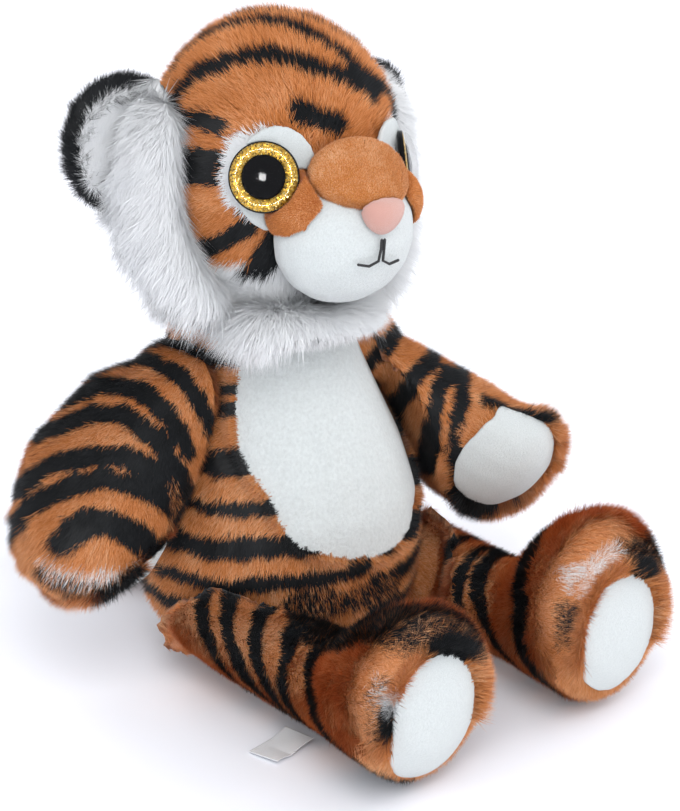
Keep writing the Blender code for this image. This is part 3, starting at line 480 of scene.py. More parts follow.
def plush_finish(colour, depth, scale=1.0, sheen=0.45):
    """Short brushed plush: soft patches where the nap lies another way, painted darker as shade, and a fine
    nap.
    """

    def build(graph, place):
        patches = graph.noise(58.0 * scale, 3.0, 0.6)
        fine = graph.noise(1500.0 * scale, 3.0, 0.7)
        # Painted shade: the patches and the fine nap darken the colour down to the given share, as nap turned
        # from the light looks.
        shade = (patches * 0.55 + fine * 0.45).ranged(0.33, 0.66)
        return {
            "Base Color": graph.mix(shade, shaded(colour, depth), colour),
            "Roughness": fine.ranged(0.3, 0.7, 0.82, 0.98),
            "Sheen Weight": sheen,
            "Sheen Roughness": 0.45,
            "Specular IOR Level": 0.25,
            "Normal": graph.bumped(fine * 0.6 + patches * 2.0, 0.55, 0.0007),
        }

    return build


def woven(graph, place, bands, scale, distortion):
    """Fine parallel ridges, as a value."""
    inputs = {"Vector": place, "Scale": scale, "Distortion": distortion}
    wave = graph.wire("ShaderNodeTexWave", {"bands_direction": bands}, inputs)
    return graph.wire("ShaderNodeSeparateColor", {}, {0: wave})


def thread_finish(colour):
    """Twisted sewing thread."""

    def build(graph, place):
        strands = woven(graph, place, "DIAGONAL", 900.0, 2.0)
        pale = tuple(min(1.0, channel * 1.6 + 0.02) for channel in colour)
        return {
            "Base Color": graph.mix(strands, colour, pale),
            "Roughness": strands.ranged(0.0, 1.0, 0.55, 0.8),
            "Normal": graph.bumped(strands, 0.7, 0.0003),
        }

    return build


def gloss_finish(graph, place):
    """Moulded black plastic with a faint haze."""
    haze = graph.noise(260.0, 2.0)
    return {
        "Base Color": graph.mix(haze.ranged(0.3, 0.7), (0.003, 0.003, 0.0035), (0.006, 0.006, 0.007)),
        "Roughness": haze.ranged(0.3, 0.7, 0.02, 0.04),
        "Specular IOR Level": 0.09,
    }


def glitter_finish(graph, place):
    """Gold glitter set in clear plastic: small flakes, each tilted its own way, with painted glints: each
    flake darkened or brightened, a few to pale gold.
    """
    gold = colours().gold
    flakes = graph.node("ShaderNodeTexVoronoi", {"feature": "F1"}, {"Vector": place, "Scale": 2300.0})
    tint = Wire(graph, flakes.outputs["Color"])
    parts = graph.node("ShaderNodeSeparateColor", {}, {0: tint})
    spark, other = Wire(graph, parts.outputs[0]), Wire(graph, parts.outputs[1])
    # Painted glints: flakes are darkened or brightened one by one, and a few turn pale gold, as flakes that
    # catch the light look.
    colour = graph.mix(spark.ranged(0.1, 0.8), shaded(gold, 0.28), gold)
    colour = graph.mix(other.ranged(0.80, 0.97), colour, (0.98, 0.80, 0.30))
    tilt = graph.vectors("SCALE", graph.vectors("SUBTRACT", tint, (0.5, 0.5, 0.5)), 0.9)
    facing = graph.wire("ShaderNodeNewGeometry", output=1)
    return {
        "Base Color": colour, "Metallic": 0.75, "Roughness": spark.ranged(0.0, 1.0, 0.22, 0.42),
        "Normal": graph.vectors("NORMALIZE", graph.vectors("ADD", facing, tilt)),
        "Coat Weight": 0.4, "Coat Roughness": 0.05,
    }


def lens_finish(graph, place):
    """Clear cast plastic, seen only by its gloss."""
    haze = graph.noise(300.0, 2.0)
    gloss = graph.wire("ShaderNodeBsdfPrincipled", {}, {
        "Base Color": (0.0, 0.0, 0.0, 1.0), "Roughness": haze.ranged(0.2, 0.8, 0.02, 0.05),
        "Specular IOR Level": 1.0,
    })
    clear = graph.wire("ShaderNodeBsdfTransparent")
    front = graph.wire("ShaderNodeNewGeometry", output=6).ranged(0.0, 1.0, 1.0, 0.0)
    mask = graph.wire("ShaderNodeFresnel", {}, {"IOR": 1.22}) * front
    return {"surface": graph.wire("ShaderNodeMixShader", {}, {0: mask, 1: clear, 2: gloss})}


def satin_finish(graph, place):
    """Blank woven satin tape."""
    ribs = woven(graph, place, "Y", 1600.0, 0.6)
    wear = graph.noise(160.0, 3.0)
    shade = (ribs * 0.5 + wear * 0.5).ranged(0.25, 0.75)
    return {
        "Base Color": graph.mix(shade, (0.70, 0.71, 0.73), (0.86, 0.87, 0.88)),
        "Roughness": wear.ranged(0.3, 0.7, 0.38, 0.55),
        "Sheen Weight": 0.25,
        "Normal": graph.bumped(ribs, 0.4, 0.0002),
    }


def fibre_finish(graph, place):
    """Plain moulded plastic and loose filling, which the skins cover."""
    wisps = graph.noise(220.0, 5.0, 0.7)
    return {
        "Base Color": graph.mix(wisps, (0.72, 0.72, 0.70), (0.92, 0.92, 0.90)),
        "Roughness": wisps.ranged(0.3, 0.7, 0.7, 1.0),
        "Normal": graph.bumped(wisps, 0.6, 0.001),
    }


def floor_finish(graph, place):
    """Pale seamless paper."""
    tone = graph.noise(3.0, 2.0)
    floor = tuple(bpy.context.scene.tiger_stage.floor)
    return {
        "Base Color": graph.mix(tone.ranged(0.3, 0.7), shaded(floor, 0.985), floor),
        "Roughness": tone.ranged(0.3, 0.7, 0.75, 0.85),
        "Specular IOR Level": 0.2,
    }


def finish(name):
    """The named finish, made once."""
    tones = colours()
    builds = {
        "pile_strands": strand_finish,
        "coat_ground": coat_finish,
        "white_plush": plush_finish(tones.plush, 0.80),
        "orange_velboa": plush_finish(tones.velboa, 0.62, 1.3, 0.15),
        # Painted shade: a darker copy of the bridge's velboa for the lobes, which lie in shade beside it.
        "deep_velboa": plush_finish(tones.lobe, 0.55, 1.3, 0.10),
        "nose_velour": plush_finish(tones.nose, 0.80, 1.6),
        "black_thread": thread_finish((0.010, 0.010, 0.011)),
        "white_thread": thread_finish((0.78, 0.78, 0.78)),
        "black_plastic": gloss_finish,
        "gold_glitter": glitter_finish,
        "clear_plastic": lens_finish,
        "label_satin": satin_finish,
        "loose_fibre": fibre_finish,
        "floor": floor_finish,
    }
    return new_material(name, builds[name])


# Meshes


def linked(name, data):
    """A scene object that holds the data."""
    obj = bpy.data.objects.new(name, data)
    bpy.context.scene.collection.objects.link(obj)
    return obj


def as_object(mesh, name):
    """A scene object of a bmesh, in smooth shading."""
    data = bpy.data.meshes.new(name)
    mesh.to_mesh(data)
    mesh.free()
    data.shade_smooth()
    return linked(name, data)


def baked(obj):
    """The object with its modifiers applied to its mesh."""
    evaluated = obj.evaluated_get(bpy.context.evaluated_depsgraph_get())
    data = bpy.data.meshes.new_from_object(evaluated)
    obj.modifiers.clear()
    old = obj.data
    obj.data = data
    bpy.data.meshes.remove(old)
    data.name = obj.name
    return obj


def with_modifiers(obj, *steps):
    """The object with modifiers applied, each given as its kind and its settings."""
    for kind, settings in steps:
        modifier = obj.modifiers.new(kind.lower(), kind)
        for key, value in settings.items():
            setattr(modifier, key, value)
    baked(obj).data.shade_smooth()
    return obj


def node_mesh(*nodes):
    """A bmesh of copies of CAD nodes, with their doubles merged."""
    mesh = bmesh.new()
    for node in nodes:
        mesh.from_mesh(frame["nodes"][node].data)
    bmesh.ops.remove_doubles(mesh, verts=mesh.verts, dist=0.000002)
    return mesh


def stuffed_form(name, nodes, sink, knobs=(), voxel=None, smooth=6):
    """A smooth closed form over the CAD nodes, sunk by part of the pile's depth.

    The knobs are balls that carry on inside a neighbour, so that no gap opens where the two turn.
    """
    mesh = node_mesh(*nodes)
    for place, radius in knobs:
        bmesh.ops.create_icosphere(mesh, subdivisions=3, radius=radius, matrix=Matrix.Translation(place))
    return with_modifiers(
        as_object(mesh, name),
        ("REMESH", {"mode": "VOXEL", "voxel_size": voxel or sizes().form_voxel}),
        ("SMOOTH", {"iterations": smooth, "factor": 0.5}),
        ("DISPLACE", {"strength": -sink, "mid_level": 0.0}),
    )


def vertex_rows(obj, field):
    flat = np.empty(len(obj.data.vertices) * 3, np.float32)
    obj.data.vertices.foreach_get(field, flat)
    return flat.reshape(-1, 3).astype(float)


def places(obj):
    """The object's vertices as rows of x, y and z."""
    return vertex_rows(obj, "co")


def normals(obj):
    """The way that each vertex of the object faces."""
    return vertex_rows(obj, "normal")


def place_all(obj, rows):
    """Moves every vertex to its place."""
    obj.data.vertices.foreach_set("co", rows.astype(np.float32).ravel())
    obj.data.update()


def unit(rows):
    return rows / np.maximum(np.linalg.norm(rows, axis=1, keepdims=True), 1e-9)


def direction(vector):
    """One vector a unit long."""
    return unit(np.asarray(vector, float)[None])[0]


def flat_axes(rows):
    """The long way, the short way and the facing of places that lie nearly flat."""
    return np.linalg.svd(rows - rows.mean(0))[2]


def waves(rows, scale, seed=0.0):
    """A smooth wobble from -1 to 1 over space."""
    x, y, z = (rows * scale + seed).T
    first = np.sin(x + 1.7 * np.sin(y * 0.9))
    second = np.sin(y * 1.1 + 1.3 * np.sin(z))
    third = np.sin(z * 0.9 + x * 0.7)
    return (first + second + third) / 3


def step(value, edge, soft):
    """From 0 to 1 as the value passes the edge."""
    return np.clip((value - edge) / soft + 0.5, 0.0, 1.0)


def gap_to(rows, *nodes):
    """How far each place is from the surfaces of the CAD nodes, and the way from them to it."""
    mesh = node_mesh(*nodes)
    tree = BVHTree.FromBMesh(mesh)
    mesh.free()
    found = [tree.find_nearest(Vector(row)) for row in rows]
    return np.array([item[3] for item in found]), unit(rows - np.array([item[0] for item in found]))


def off_segment(rows, start, end):
    """The way to each place from the nearest point of a straight stretch."""
    along = end - start
    share = np.clip((rows - start) @ along / (along @ along), 0.0, 1.0)[:, None]
    return rows - start - share * along


def line_gap(rows, line):
    """How far each place is from a line of points."""
    line = np.array(line, float)
    return np.min([
        np.linalg.norm(off_segment(rows, start, end), axis=1) for start, end in zip(line, line[1:])
    ], axis=0)


def outline_gap(rows, outline):
    """How far each place lies outside an outline drawn from the front, and the direction away from it."""
    flat = rows[:, (0, 2)] * MM_PER_M
    corners = np.array(outline, float)
    best = np.full(len(rows), np.inf)
    away = np.zeros((len(rows), 3))
    inside = np.zeros(len(rows), bool)
    for start, end in zip(corners, np.roll(corners, -1, axis=0)):
        off = off_segment(flat, start, end)
        gap = np.linalg.norm(off, axis=1)
        nearer = gap < best
        away[nearer, 0], away[nearer, 2] = off[nearer, 0], off[nearer, 1]
        best = np.minimum(best, gap)
        along = end - start
        if along[1]:
            crossed = (start[1] > flat[:, 1]) != (end[1] > flat[:, 1])
            inside ^= crossed & (flat[:, 0] < start[0] + (flat[:, 1] - start[1]) * along[0] / along[1])
    inside &= rows[:, 1] < 0
    best = np.where(inside, -best, best) / MM_PER_M
    best[rows[:, 1] >= 0] = FAR_OFF
    return best, unit(np.where(inside[:, None], -away, away))


def pad_gap(rows, node):
    """How far each place lies outside a pad's outline, and the direction away from it."""
    scale, right, up = PADS.get(node, (1.0, 0.0, 0.0))
    solid = places(frame["nodes"][node])
    centre = solid.mean(0)
    first, second, facing = flat_axes(solid)
    facing = facing * np.sign((centre - rows.mean(0)) @ facing)
    shift = (VIEW_RIGHT * right + VIEW_UP * up) / MM_PER_M
    shift = shift - facing * (shift @ facing)

    def turned(off):
        return np.arctan2(off @ second, off @ first), np.hypot(off @ second, off @ first)

    angle, radius = turned(solid - centre)
    turns = np.linspace(-math.pi, math.pi, 25)
    rim = np.array([radius[np.abs(angle - turn) < 0.3].max() for turn in turns]) * scale
    off = rows - centre - shift
    angle, radius = turned(off)
    height = off @ facing
    gap = np.where(height < -PAD_THICKNESS_REACH, FAR_OFF, radius - np.interp(angle, turns, rim))
    return gap, unit(off - height[:, None] * facing)


def push(form, way, depth, weight):
    """Moves the side of a form that faces one way, by up to the depth in metres where the weight is 1."""
    facing = np.clip(normals(form) @ way, 0.0, 1.0)
    place_all(form, places(form) + way * (depth * facing * weight)[:, None])


# Coats


def striped(rows, stripes, wobble):
    """How black each place is, given stripes as half widths and lines."""
    return np.max([
        step(half - line_gap(rows, line) + wobble, 0.0, STRIPE_EDGE) for half, line in stripes
    ], axis=0)


def marked(values, rows, marks, wobble):
    """The values with mixed marks laid over them, each holding its share of strands."""
    for half, share, line in marks:
        near = step(half - line_gap(rows * MM_PER_M, line) + wobble, 0.0, MARK_EDGE)
        values = values * (1 - near) + share * near
    return values


def on_floor(rows, height):
    """Where a coat rests on the floor, up to a height."""
    return step(height - rows[:, 2], 0.0, FLOOR_EDGE)


def turned_away(flow, gap, away):
    """The flow turned away from whatever bare piece lies near."""
    near = np.clip(1 - np.maximum(gap, 0.0) / TURN_REACH, 0.0, 1.0)[:, None]
    return unit(flow) * (1 - near) + away * near * 2


def laid(obj, flow, stand):
    """The lie of the pile: along the surface with the flow, and standing up from it by a share."""
    up = normals(obj)
    along = unit(flow - up * (flow * up).sum(1, keepdims=True))
    share = np.broadcast_to(stand, len(up))[:, None]
    return unit(along * (1 - share) + up * share)


def set_field(obj, name, values):
    """Fills one of the values that the pile reads from its ground."""
    data = obj.data
    made = data.attributes.get(name) or data.attributes.new(name, "FLOAT", "POINT")
    made.data.foreach_set("value", np.broadcast_to(values, len(data.vertices)).astype(np.float32))


def set_coat(obj, dark, pale, pile, comb, density=1.0):
    """Stores what the pile reads from its ground: colours, length, lie and how thick it grows."""
    for name, values in (("dark", dark), ("pale", pale), ("pile", pile), ("density", density)):
        set_field(obj, name, values)
    made = obj.data.attributes.new("comb", "FLOAT_VECTOR", "POINT")
    made.data.foreach_set("vector", comb.astype(np.float32).ravel())


def dress(obj, material, body, slot):
    """Gives a piece its finish and the body that it rides on."""
    obj.data.materials.clear()
    obj.data.materials.append(finish(material))
    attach(obj, body)


def finish_node(node, material):
    """Gives a CAD node that shows as it is its finish."""
    data = frame["nodes"][node].data
    data.materials.clear()
    data.materials.append(finish(material))


# Pile

BLADE = "pile_strand"
BLADE_TIP = Vector((0, 0.16, 1))
SPENT_FIELDS = ("dark", "pale", "pile", "density", "comb", "cell", "facing", "side", "along")
FEWEST_STRANDS = 100


def strand_blade():
    """One strand, a narrow blade a unit long that leans and comes to a point."""
    mesh = bmesh.new()
    bmesh.ops.create_grid(mesh, x_segments=1, y_segments=1, size=0.5)
    along = mesh.verts.layers.float.new("along")
    side = mesh.verts.layers.float.new("side")
    for vertex in mesh.verts:
        height = vertex.co.y + 0.5
        vertex[along] = height
        vertex[side] = vertex.co.x * 2 * (1 - height)
        vertex.co = Vector((vertex.co.x, 0, height))
    tips = [vertex for vertex in mesh.verts if vertex[along] > 0.5]
    bmesh.ops.pointmerge(mesh, verts=tips, merge_co=BLADE_TIP)
    return as_object(mesh, BLADE)


def pile_group(blade):
    """The node group that plants strands on a ground and turns each into the lie of the pile."""
    tree = bpy.data.node_groups.new(f"{BLADE}_pile", "GeometryNodeTree")
    interface = tree.interface
    interface.new_socket("Ground", in_out="INPUT", socket_type="NodeSocketGeometry")
    for name in ("Density", "Width", "Clump", "Fray", "Blend", "Tone"):
        interface.new_socket(name, in_out="INPUT", socket_type="NodeSocketFloat")
    interface.new_socket("Seed", in_out="INPUT", socket_type="NodeSocketInt")
    interface.new_socket("Pile", in_out="OUTPUT", socket_type="NodeSocketGeometry")
    graph = Graph(tree)
    given = graph.node("NodeGroupInput")
    value = {socket.name: Wire(graph, socket) for socket in given.outputs if socket.name}
    vectors = graph.vectors

    def named(name, kind="FLOAT"):
        return graph.wire("GeometryNodeInputNamedAttribute", {"data_type": kind}, {"Name": name})

    def chance(low, high, number):
        """A random number for each strand."""
        inputs = {2: low, 3: high, "Seed": value["Seed"] + number}
        return graph.wire("FunctionNodeRandomValue", {"data_type": "FLOAT"}, inputs, 1)

    def stored(geometry, name, item, kind="FLOAT", domain="POINT"):
        settings = {"data_type": kind, "domain": domain}
        return graph.wire("GeometryNodeStoreNamedAttribute", settings, {0: geometry, 2: name, 3: item})

    planted = graph.node(
        "GeometryNodeDistributePointsOnFaces", {"distribute_method": "RANDOM"},
        {"Mesh": value["Ground"], "Density": value["Density"] * named("density"), "Seed": value["Seed"]},
    )
    points, facing = Wire(graph, planted.outputs[0]), Wire(graph, planted.outputs[1])
    place = graph.wire("GeometryNodeInputPosition")
    tufts = vectors("SUBTRACT", graph.noise(190.0, 2.0, 0.5, 1, place), (0.5, 0.5, 0.5))
    loose = graph.wire(
        "FunctionNodeRandomValue", {"data_type": "FLOAT_VECTOR"},
        {0: (-1.0, -1.0, -1.0), 1: (1.0, 1.0, 1.0), "Seed": value["Seed"] + 7},
    )
    lie = vectors("ADD", named("comb", "FLOAT_VECTOR"), vectors("SCALE", tufts, value["Clump"]))
    lie = vectors("ADD", lie, vectors("SCALE", loose, value["Fray"]))

    dark = (named("dark") + chance(-0.5, 0.5, 11) * value["Blend"]) > 0.5
    pale = (named("pale") + chance(-0.5, 0.5, 13) * value["Blend"]) > 0.5
    patch = graph.noise(75.0, 2.0, 0.5, 0, place) - 0.5
    tone = (patch * 0.36 + chance(-0.10, 0.10, 17)).ranged(-CELL_HALF, CELL_HALF, -TONE_REACH, TONE_REACH)
    tone = (tone + value["Tone"]).ranged(-TONE_REACH, TONE_REACH, -TONE_REACH, TONE_REACH)
    cell = ORANGE_CELL + pale * (WHITE_CELL - ORANGE_CELL)
    points = stored(points, "cell", cell + dark * (BLACK_CELL - cell) + tone)
    points = stored(points, "facing", facing, "FLOAT_VECTOR")

    turn = graph.wire("FunctionNodeAlignRotationToVector", {"axis": "Z"}, {"Vector": lie})
    turn = graph.wire("FunctionNodeAlignRotationToVector", {"axis": "Y", "pivot_axis": "Z"}, {
        "Rotation": turn, "Vector": vectors("SCALE", facing, -1.0),
    })
    roll = graph.wire("ShaderNodeCombineXYZ", {}, {2: chance(-0.3, 0.3, 19)})
    roll = graph.wire("FunctionNodeEulerToRotation", {}, {0: roll})
    turn = graph.wire("FunctionNodeRotateRotation", {"rotation_space": "LOCAL"}, {0: turn, 1: roll})
    length = named("pile") * chance(0.62, 1.08, 23)
    wide = value["Width"] * chance(0.75, 1.2, 29)
    strands = graph.wire("GeometryNodeInstanceOnPoints", {}, {
        "Points": points, "Instance": graph.wire("GeometryNodeObjectInfo", {}, {"Object": blade}, 4),
        "Rotation": turn, "Scale": graph.wire("ShaderNodeCombineXYZ", {}, {0: wide, 1: length, 2: length}),
    })
    strands = graph.wire("GeometryNodeRealizeInstances", {}, {0: strands})
    across = named("cell") + named("side") * 0.012
    mapped = graph.wire("ShaderNodeCombineXYZ", {}, {0: across, 1: named("along") * 0.96 + 0.02})
    strands = stored(strands, "OFBake", mapped, "FLOAT2", "CORNER")
    soft = vectors("ADD", named("facing", "FLOAT_VECTOR"), vectors("SCALE", tufts, 0.8))
    settings = {"mode": "FREE", "domain": "POINT"}
    strands = graph.wire("GeometryNodeSetMeshNormal", settings, {0: strands, 1: soft})
    graph.node("NodeGroupOutput", {}, {0: strands})
    return tree


def grown_area(ground):
    """The ground's area, each triangle counted by how thick its pile grows."""
    data = ground.data
    density = np.empty(len(data.vertices), np.float32)
    data.attributes["density"].data.foreach_get("value", density)
    data.calc_loop_triangles()
    corners = np.empty(len(data.loop_triangles) * 3, np.int32)
    data.loop_triangles.foreach_get("vertices", corners)
    areas = np.empty(len(data.loop_triangles), np.float32)
    data.loop_triangles.foreach_get("area", areas)
    return float((areas * density[corners.reshape(-1, 3)].mean(1)).sum())


def add_pile(ground, name, body, slot, count, seed, **chosen):
    """Plants about the given number of strands on the ground, as a piece of its own."""
    blade = bpy.data.objects.get(BLADE) or strand_blade()
    tree = bpy.data.node_groups.get(f"{BLADE}_pile") or pile_group(blade)
    looks = {"width": sizes().strand_width, "clump": 0.55, "fray": 0.28, "blend": 0.5, "tone": 0.0, **chosen}
    looks["density"] = count / grown_area(ground)
    obj = linked(name, ground.data.copy())
    modifier = obj.modifiers.new("pile", "NODES")
    modifier.node_group = tree
    for item in tree.interface.items_tree:
        if item.in_out == "INPUT" and item.name != "Ground":
            modifier[item.identifier] = seed if item.name == "Seed" else float(looks[item.name.lower()])
    data = baked(obj).data
    for used in SPENT_FIELDS:
        if used in data.attributes:
            data.attributes.remove(data.attributes[used])
    if len(data.polygons) < FEWEST_STRANDS:
        raise RuntimeError(f"{name} grew no pile")
    rows = places(obj)
    rows[:, 2] = np.maximum(rows[:, 2], FLOOR_GAP)
    place_all(obj, rows)
    dress(obj, "pile_strands", body, slot)


def add_fluff(form, name, where, pile, count, seed, body=None, slot="tiger_pile", **chosen):
    """Longer, looser strands over part of a coat."""
    set_field(form, "density", where)
    set_field(form, "pile", pile)
    looks = {"clump": 0.9, "fray": 0.25, "blend": 0.8, **chosen}
    add_pile(form, f"{name}_fluff", body or name, slot, count, seed, **looks)


def nap(obj, name, body, slot, count, tone=0.0):
    """Fine strands on a smooth piece that holds a coat's fields.

    A patch of cloth still holds those of the coat that it was cut from, so its strands stand along its rim
    and are coloured like the coat.
    """
    width = sizes().plush_width
    add_pile(obj, name, body, slot, count, 5, width=width, clump=0.4, fray=0.4, blend=0.0, tone=tone)


def set_velboa(obj, stand, flow, clear=()):
    """Lays short orange pile on a smooth piece, kept off the nodes that it should leave clear."""
    rows = places(obj)
    density = step(gap_to(rows, *clear)[0], CLEAR_EDGE, CLEAR_SOFT) if clear else 1.0
    comb = laid(obj, np.tile(np.array(flow, float), (len(rows), 1)), stand)
    set_coat(obj, 0.0, 0.0, sizes().velboa_strand, comb, density)


def cloth_patch(form, name, gap_of, outline, beyond, lift):
    """A smooth piece of short plush cut from a form, up to the metres beyond its outline that are given."""
    mesh = bmesh.new()
    mesh.from_mesh(form.data)
    cut = gap_of(np.array([face.calc_center_median() for face in mesh.faces]), outline)[0] > beyond
    far = [face for face, away in zip(mesh.faces, cut) if away]
    bmesh.ops.delete(mesh, geom=far, context="FACES")
    for _ in range(8):
        moved = {}
        for vertex in mesh.verts:
            rim = [edge.other_vert(vertex).co for edge in vertex.link_edges if edge.is_boundary]
            if len(rim) == 2:
                moved[vertex] = (rim[0] + rim[1]) * 0.25 + vertex.co * 0.5
        for vertex, place in moved.items():
            vertex.co = place
    return with_modifiers(
        as_object(mesh, name),
        ("DISPLACE", {"strength": lift, "mid_level": 0.0}),
        ("SOLIDIFY", {"thickness": 0.0011, "offset": -1.0}),
        ("SUBSURF", {"levels": 1, "render_levels": 1}),
    )


# Torso

NECK_KNOB = ((0, -0.001, 0.126), 0.0250)
BODY_COAT_TOP = 0.131
BODY_AXIS = -0.0106
BAND_SLOPE, BAND_DROP, BAND_SEAM = 100, 2.5, 5.0


class TIGER_OT_torso(bpy.types.Operator):
    """Makes the body with its coat and its smooth belly."""

    bl_idname = "tiger.torso"
    bl_label = "Torso"

    def execute(self, context):
        form = stuffed_form("torso_form", ("body_skin", "body_filling", "belly_panel"), 0.0026, [NECK_KNOB])
        rows = places(form)
        wobble = waves(rows, 160.0) * 1.4 + waves(rows, 480.0, 2.0) * 0.7
        height = rows[:, 2] * MM_PER_M + rows[:, 1] * BAND_SLOPE + wobble - BAND_SEAM * (rows[:, 0] > 0)
        dark = np.max([
            step(half - np.abs(height + BAND_DROP - band), 0.0, STRIPE_EDGE) for half, band in TORSO_BANDS
        ], axis=0)
        dark = marked(dark, rows, TORSO_MARKS, wobble * 2)
        belly, away = outline_gap(rows, BELLY_OUTLINE)
        density = step(belly, 0.0, COAT_EDGE) * (rows[:, 2] < BODY_COAT_TOP)
        under = on_floor(rows, 0.004)
        flow = np.column_stack((rows[:, 0] * 6, (rows[:, 1] - BODY_AXIS) * 6, -np.ones(len(rows))))
        comb = laid(form, turned_away(flow, belly, away), STAND - 0.36 * under)
        set_coat(form, dark, 0.0, sizes().body_pile * (1 - 0.7 * under), comb, density)
        dress(form, "coat_ground", "torso", "tiger_pile")
        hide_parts("body_skin", "body_filling")
        add_pile(form, "torso_pile", "torso", "tiger_pile", STRANDS["torso"], 3)
        panel = cloth_patch(form, "belly_plush", outline_gap, BELLY_OUTLINE, 0.0006, 0.0020)
        dress(panel, "white_plush", "torso", "white_plush")
        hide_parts("belly_panel")
        nap(panel, "belly_nap", "torso", "white_plush", STRANDS["belly_rim"])
        return {"FINISHED"}


# Head

SEAT_RADIUS, SEAT_DEPTH = 0.0125, 0.0030
SOCKET_RADIUS = 16.0
HEAD_COAT_FOOT = 0.1255
CROWN_RISE = 0.0026
BACK_BAND_TURNS = 7.5


def head_frame(rows):
    """Places on the tilted head as millimetres from the centre of the upright head."""
    turned = Matrix.Rotation(-HEAD_TILT, 3, "Y")
    return (rows - HEAD_CENTRE) @ np.array(turned).T * MM_PER_M


def head_place(local):
    """The way back from millimetres on the upright head to places on the tilted one."""
    turned = Matrix.Rotation(HEAD_TILT, 3, "Y")
    return HEAD_CENTRE + local / MM_PER_M @ np.array(turned).T


def eye_seat(side):
    """A matrix that stands at the middle of the eye's pupil, with its Z looking out of the head."""
    rows = places(frame["nodes"][f"eye_pupil_{side}"])
    centre = rows.mean(0)
    out = flat_axes(rows)[2]
    if out @ (centre - HEAD_CENTRE) < 0:
        out = -out
    turn = Vector(out).to_track_quat("Z", "Y").to_matrix().to_4x4()
    return Matrix.Translation(centre) @ turn


def head_coat(rows):
    """Where the head is black and where it is white, given places at the top of its pile."""
    local = head_frame(rows)
    wobble = waves(local, 0.35) * 0.7 + waves(local, 1.1, 3.0) * 0.5
    sided = np.column_stack((np.abs(local[:, 0]), local[:, 1], local[:, 2]))
    dark = np.maximum(striped(local, CROWN_STRIPES, wobble), striped(sided, FACE_STRIPES, wobble))
    turn = np.degrees(np.arctan2(local[:, 1], local[:, 2] + 8))
    bands = np.sin(np.radians(turn * BACK_BAND_TURNS) + local[:, 0] * 0.02)
    dark = np.maximum(dark, step(bands + wobble * 0.2, 0.35, 0.5) * (local[:, 1] > 22))
    low = step(-local[:, 2] - np.abs(local[:, 0]) * 0.25, 18.0, 5.0) * (local[:, 1] < 12)
    pale = low * step(-local[:, 1] + 14, 0.0, 8.0)
    dark = dark * (1 - 0.9 * (pale > 0.5) * (local[:, 2] < -30))
    eye = head_frame(np.array(eye_seat("left").translation)[None])
    socket = step(SOCKET_RADIUS + wobble - np.linalg.norm(sided - eye, axis=1), 0.0, 0.8)
    return dark * (1 - socket), np.maximum(pale, socket)


def behind_eyes(form):
    """Sets the form back where an eye is seated in it."""
    rows = places(form)
    for side in SIDES:
        seat = np.array(eye_seat(side))
        seen = (rows - seat[:3, 3]) @ seat[:3, :3]
        front = (np.hypot(seen[:, 0], seen[:, 1]) < SEAT_RADIUS) & (seen[:, 2] > -SEAT_DEPTH)
        rows = rows - np.where(front, seen[:, 2] + SEAT_DEPTH, 0.0)[:, None] * seat[:3, 2]
    place_all(form, rows)
    return rows


class TIGER_OT_head(bpy.types.Operator):
    """Makes the head with its coat."""

    bl_idname = "tiger.head"
    bl_label = "Head"

    def execute(self, context):
        eyes = ("eye_back_right", "eye_back_left")
        form = stuffed_form("head_form", ("head_skin", "head_filling", *eyes), HEAD_TOP)
        rows = behind_eyes(form)
        dark, pale = head_coat(rows + normals(form) * HEAD_TOP)
        crown = direction(VIEW_UP - VIEW_RIGHT * 0.8)
        push(form, crown, CROWN_RISE, step(normals(form) @ crown, 0.35, 0.5))
        rows = places(form)
        local = head_frame(rows)
        bare, away = gap_to(
            rows, *eyes, "eye_patch_right", "eye_patch_left",
            "muzzle", "muzzle_bridge", "muzzle_side_right", "muzzle_side_left",
        )
        density = step(bare, 0.0030, 0.0020) * (rows[:, 2] > HEAD_COAT_FOOT)
        face = np.clip(1 - np.linalg.norm(local - np.array((0, -45, 0)), axis=1) / 45, 0, 1)
        pile = sizes().head_pile * (1 - 0.40 * face) + 0.003 * step(-local[:, 2], 22.0, 10.0)
        pile = pile + 0.0028 * step(local[:, 2], 16.0, 22.0)
        pile = pile * (0.5 + 0.5 * step(gap_to(rows, *eyes)[0], 0.0030, 0.0040))
        flow = rows - (HEAD_CENTRE + np.array((0, -0.050, 0.004)))
        flow[:, 2] -= 0.020 * step(-local[:, 2], 0.0, 20.0)
        set_coat(form, dark, pale, pile, laid(form, turned_away(flow, bare, away), STAND), density)
        dress(form, "coat_ground", "head", "tiger_pile")
        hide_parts("head_skin", "head_filling")
        add_pile(form, "head_pile", "head", "tiger_pile", STRANDS["head"], 5, tone=-0.05)
        return {"FINISHED"}


# Face

BRIDGE_TAPER, BRIDGE_SLOPE = 0.36, 0.42
NOSE_WIDTH, NOSE_FLARE, NOSE_TOP_DROP = 1.02, 0.22, 1.3


def shape_bridge(bridge):
    """Draws the bridge in and slopes it down towards the nose."""
    local = head_frame(places(bridge))
    front = np.clip((local[:, 1].mean() + 4 - local[:, 1]) / 20, 0.0, 1.0)
    local[:, 0] *= 1 - BRIDGE_TAPER * front
    ahead = (local[:, 1].max() - local[:, 1]) / np.ptp(local[:, 1])
    foot = local[:, 2].min()
    local[:, 2] = foot + (local[:, 2] - foot) * (1 - BRIDGE_SLOPE * np.clip(ahead * 1.5 - 0.35, 0.0, 1.0))
    place_all(bridge, head_place(local))


def shape_nose(nose):
    """Spreads the nose at its top and rounds its upper edge."""
    local = head_frame(places(nose))
    middle = (local.min(0) + local.max(0)) / 2
    rise = (local[:, 2] - middle[2]) / np.ptp(local[:, 2]) * 2
    local[:, 0] = middle[0] + (local[:, 0] - middle[0]) * (NOSE_WIDTH + NOSE_FLARE * rise)
    local[:, 2] -= np.clip(rise, 0.0, 1.0) ** 2 * NOSE_TOP_DROP
    place_all(nose, head_place(local))


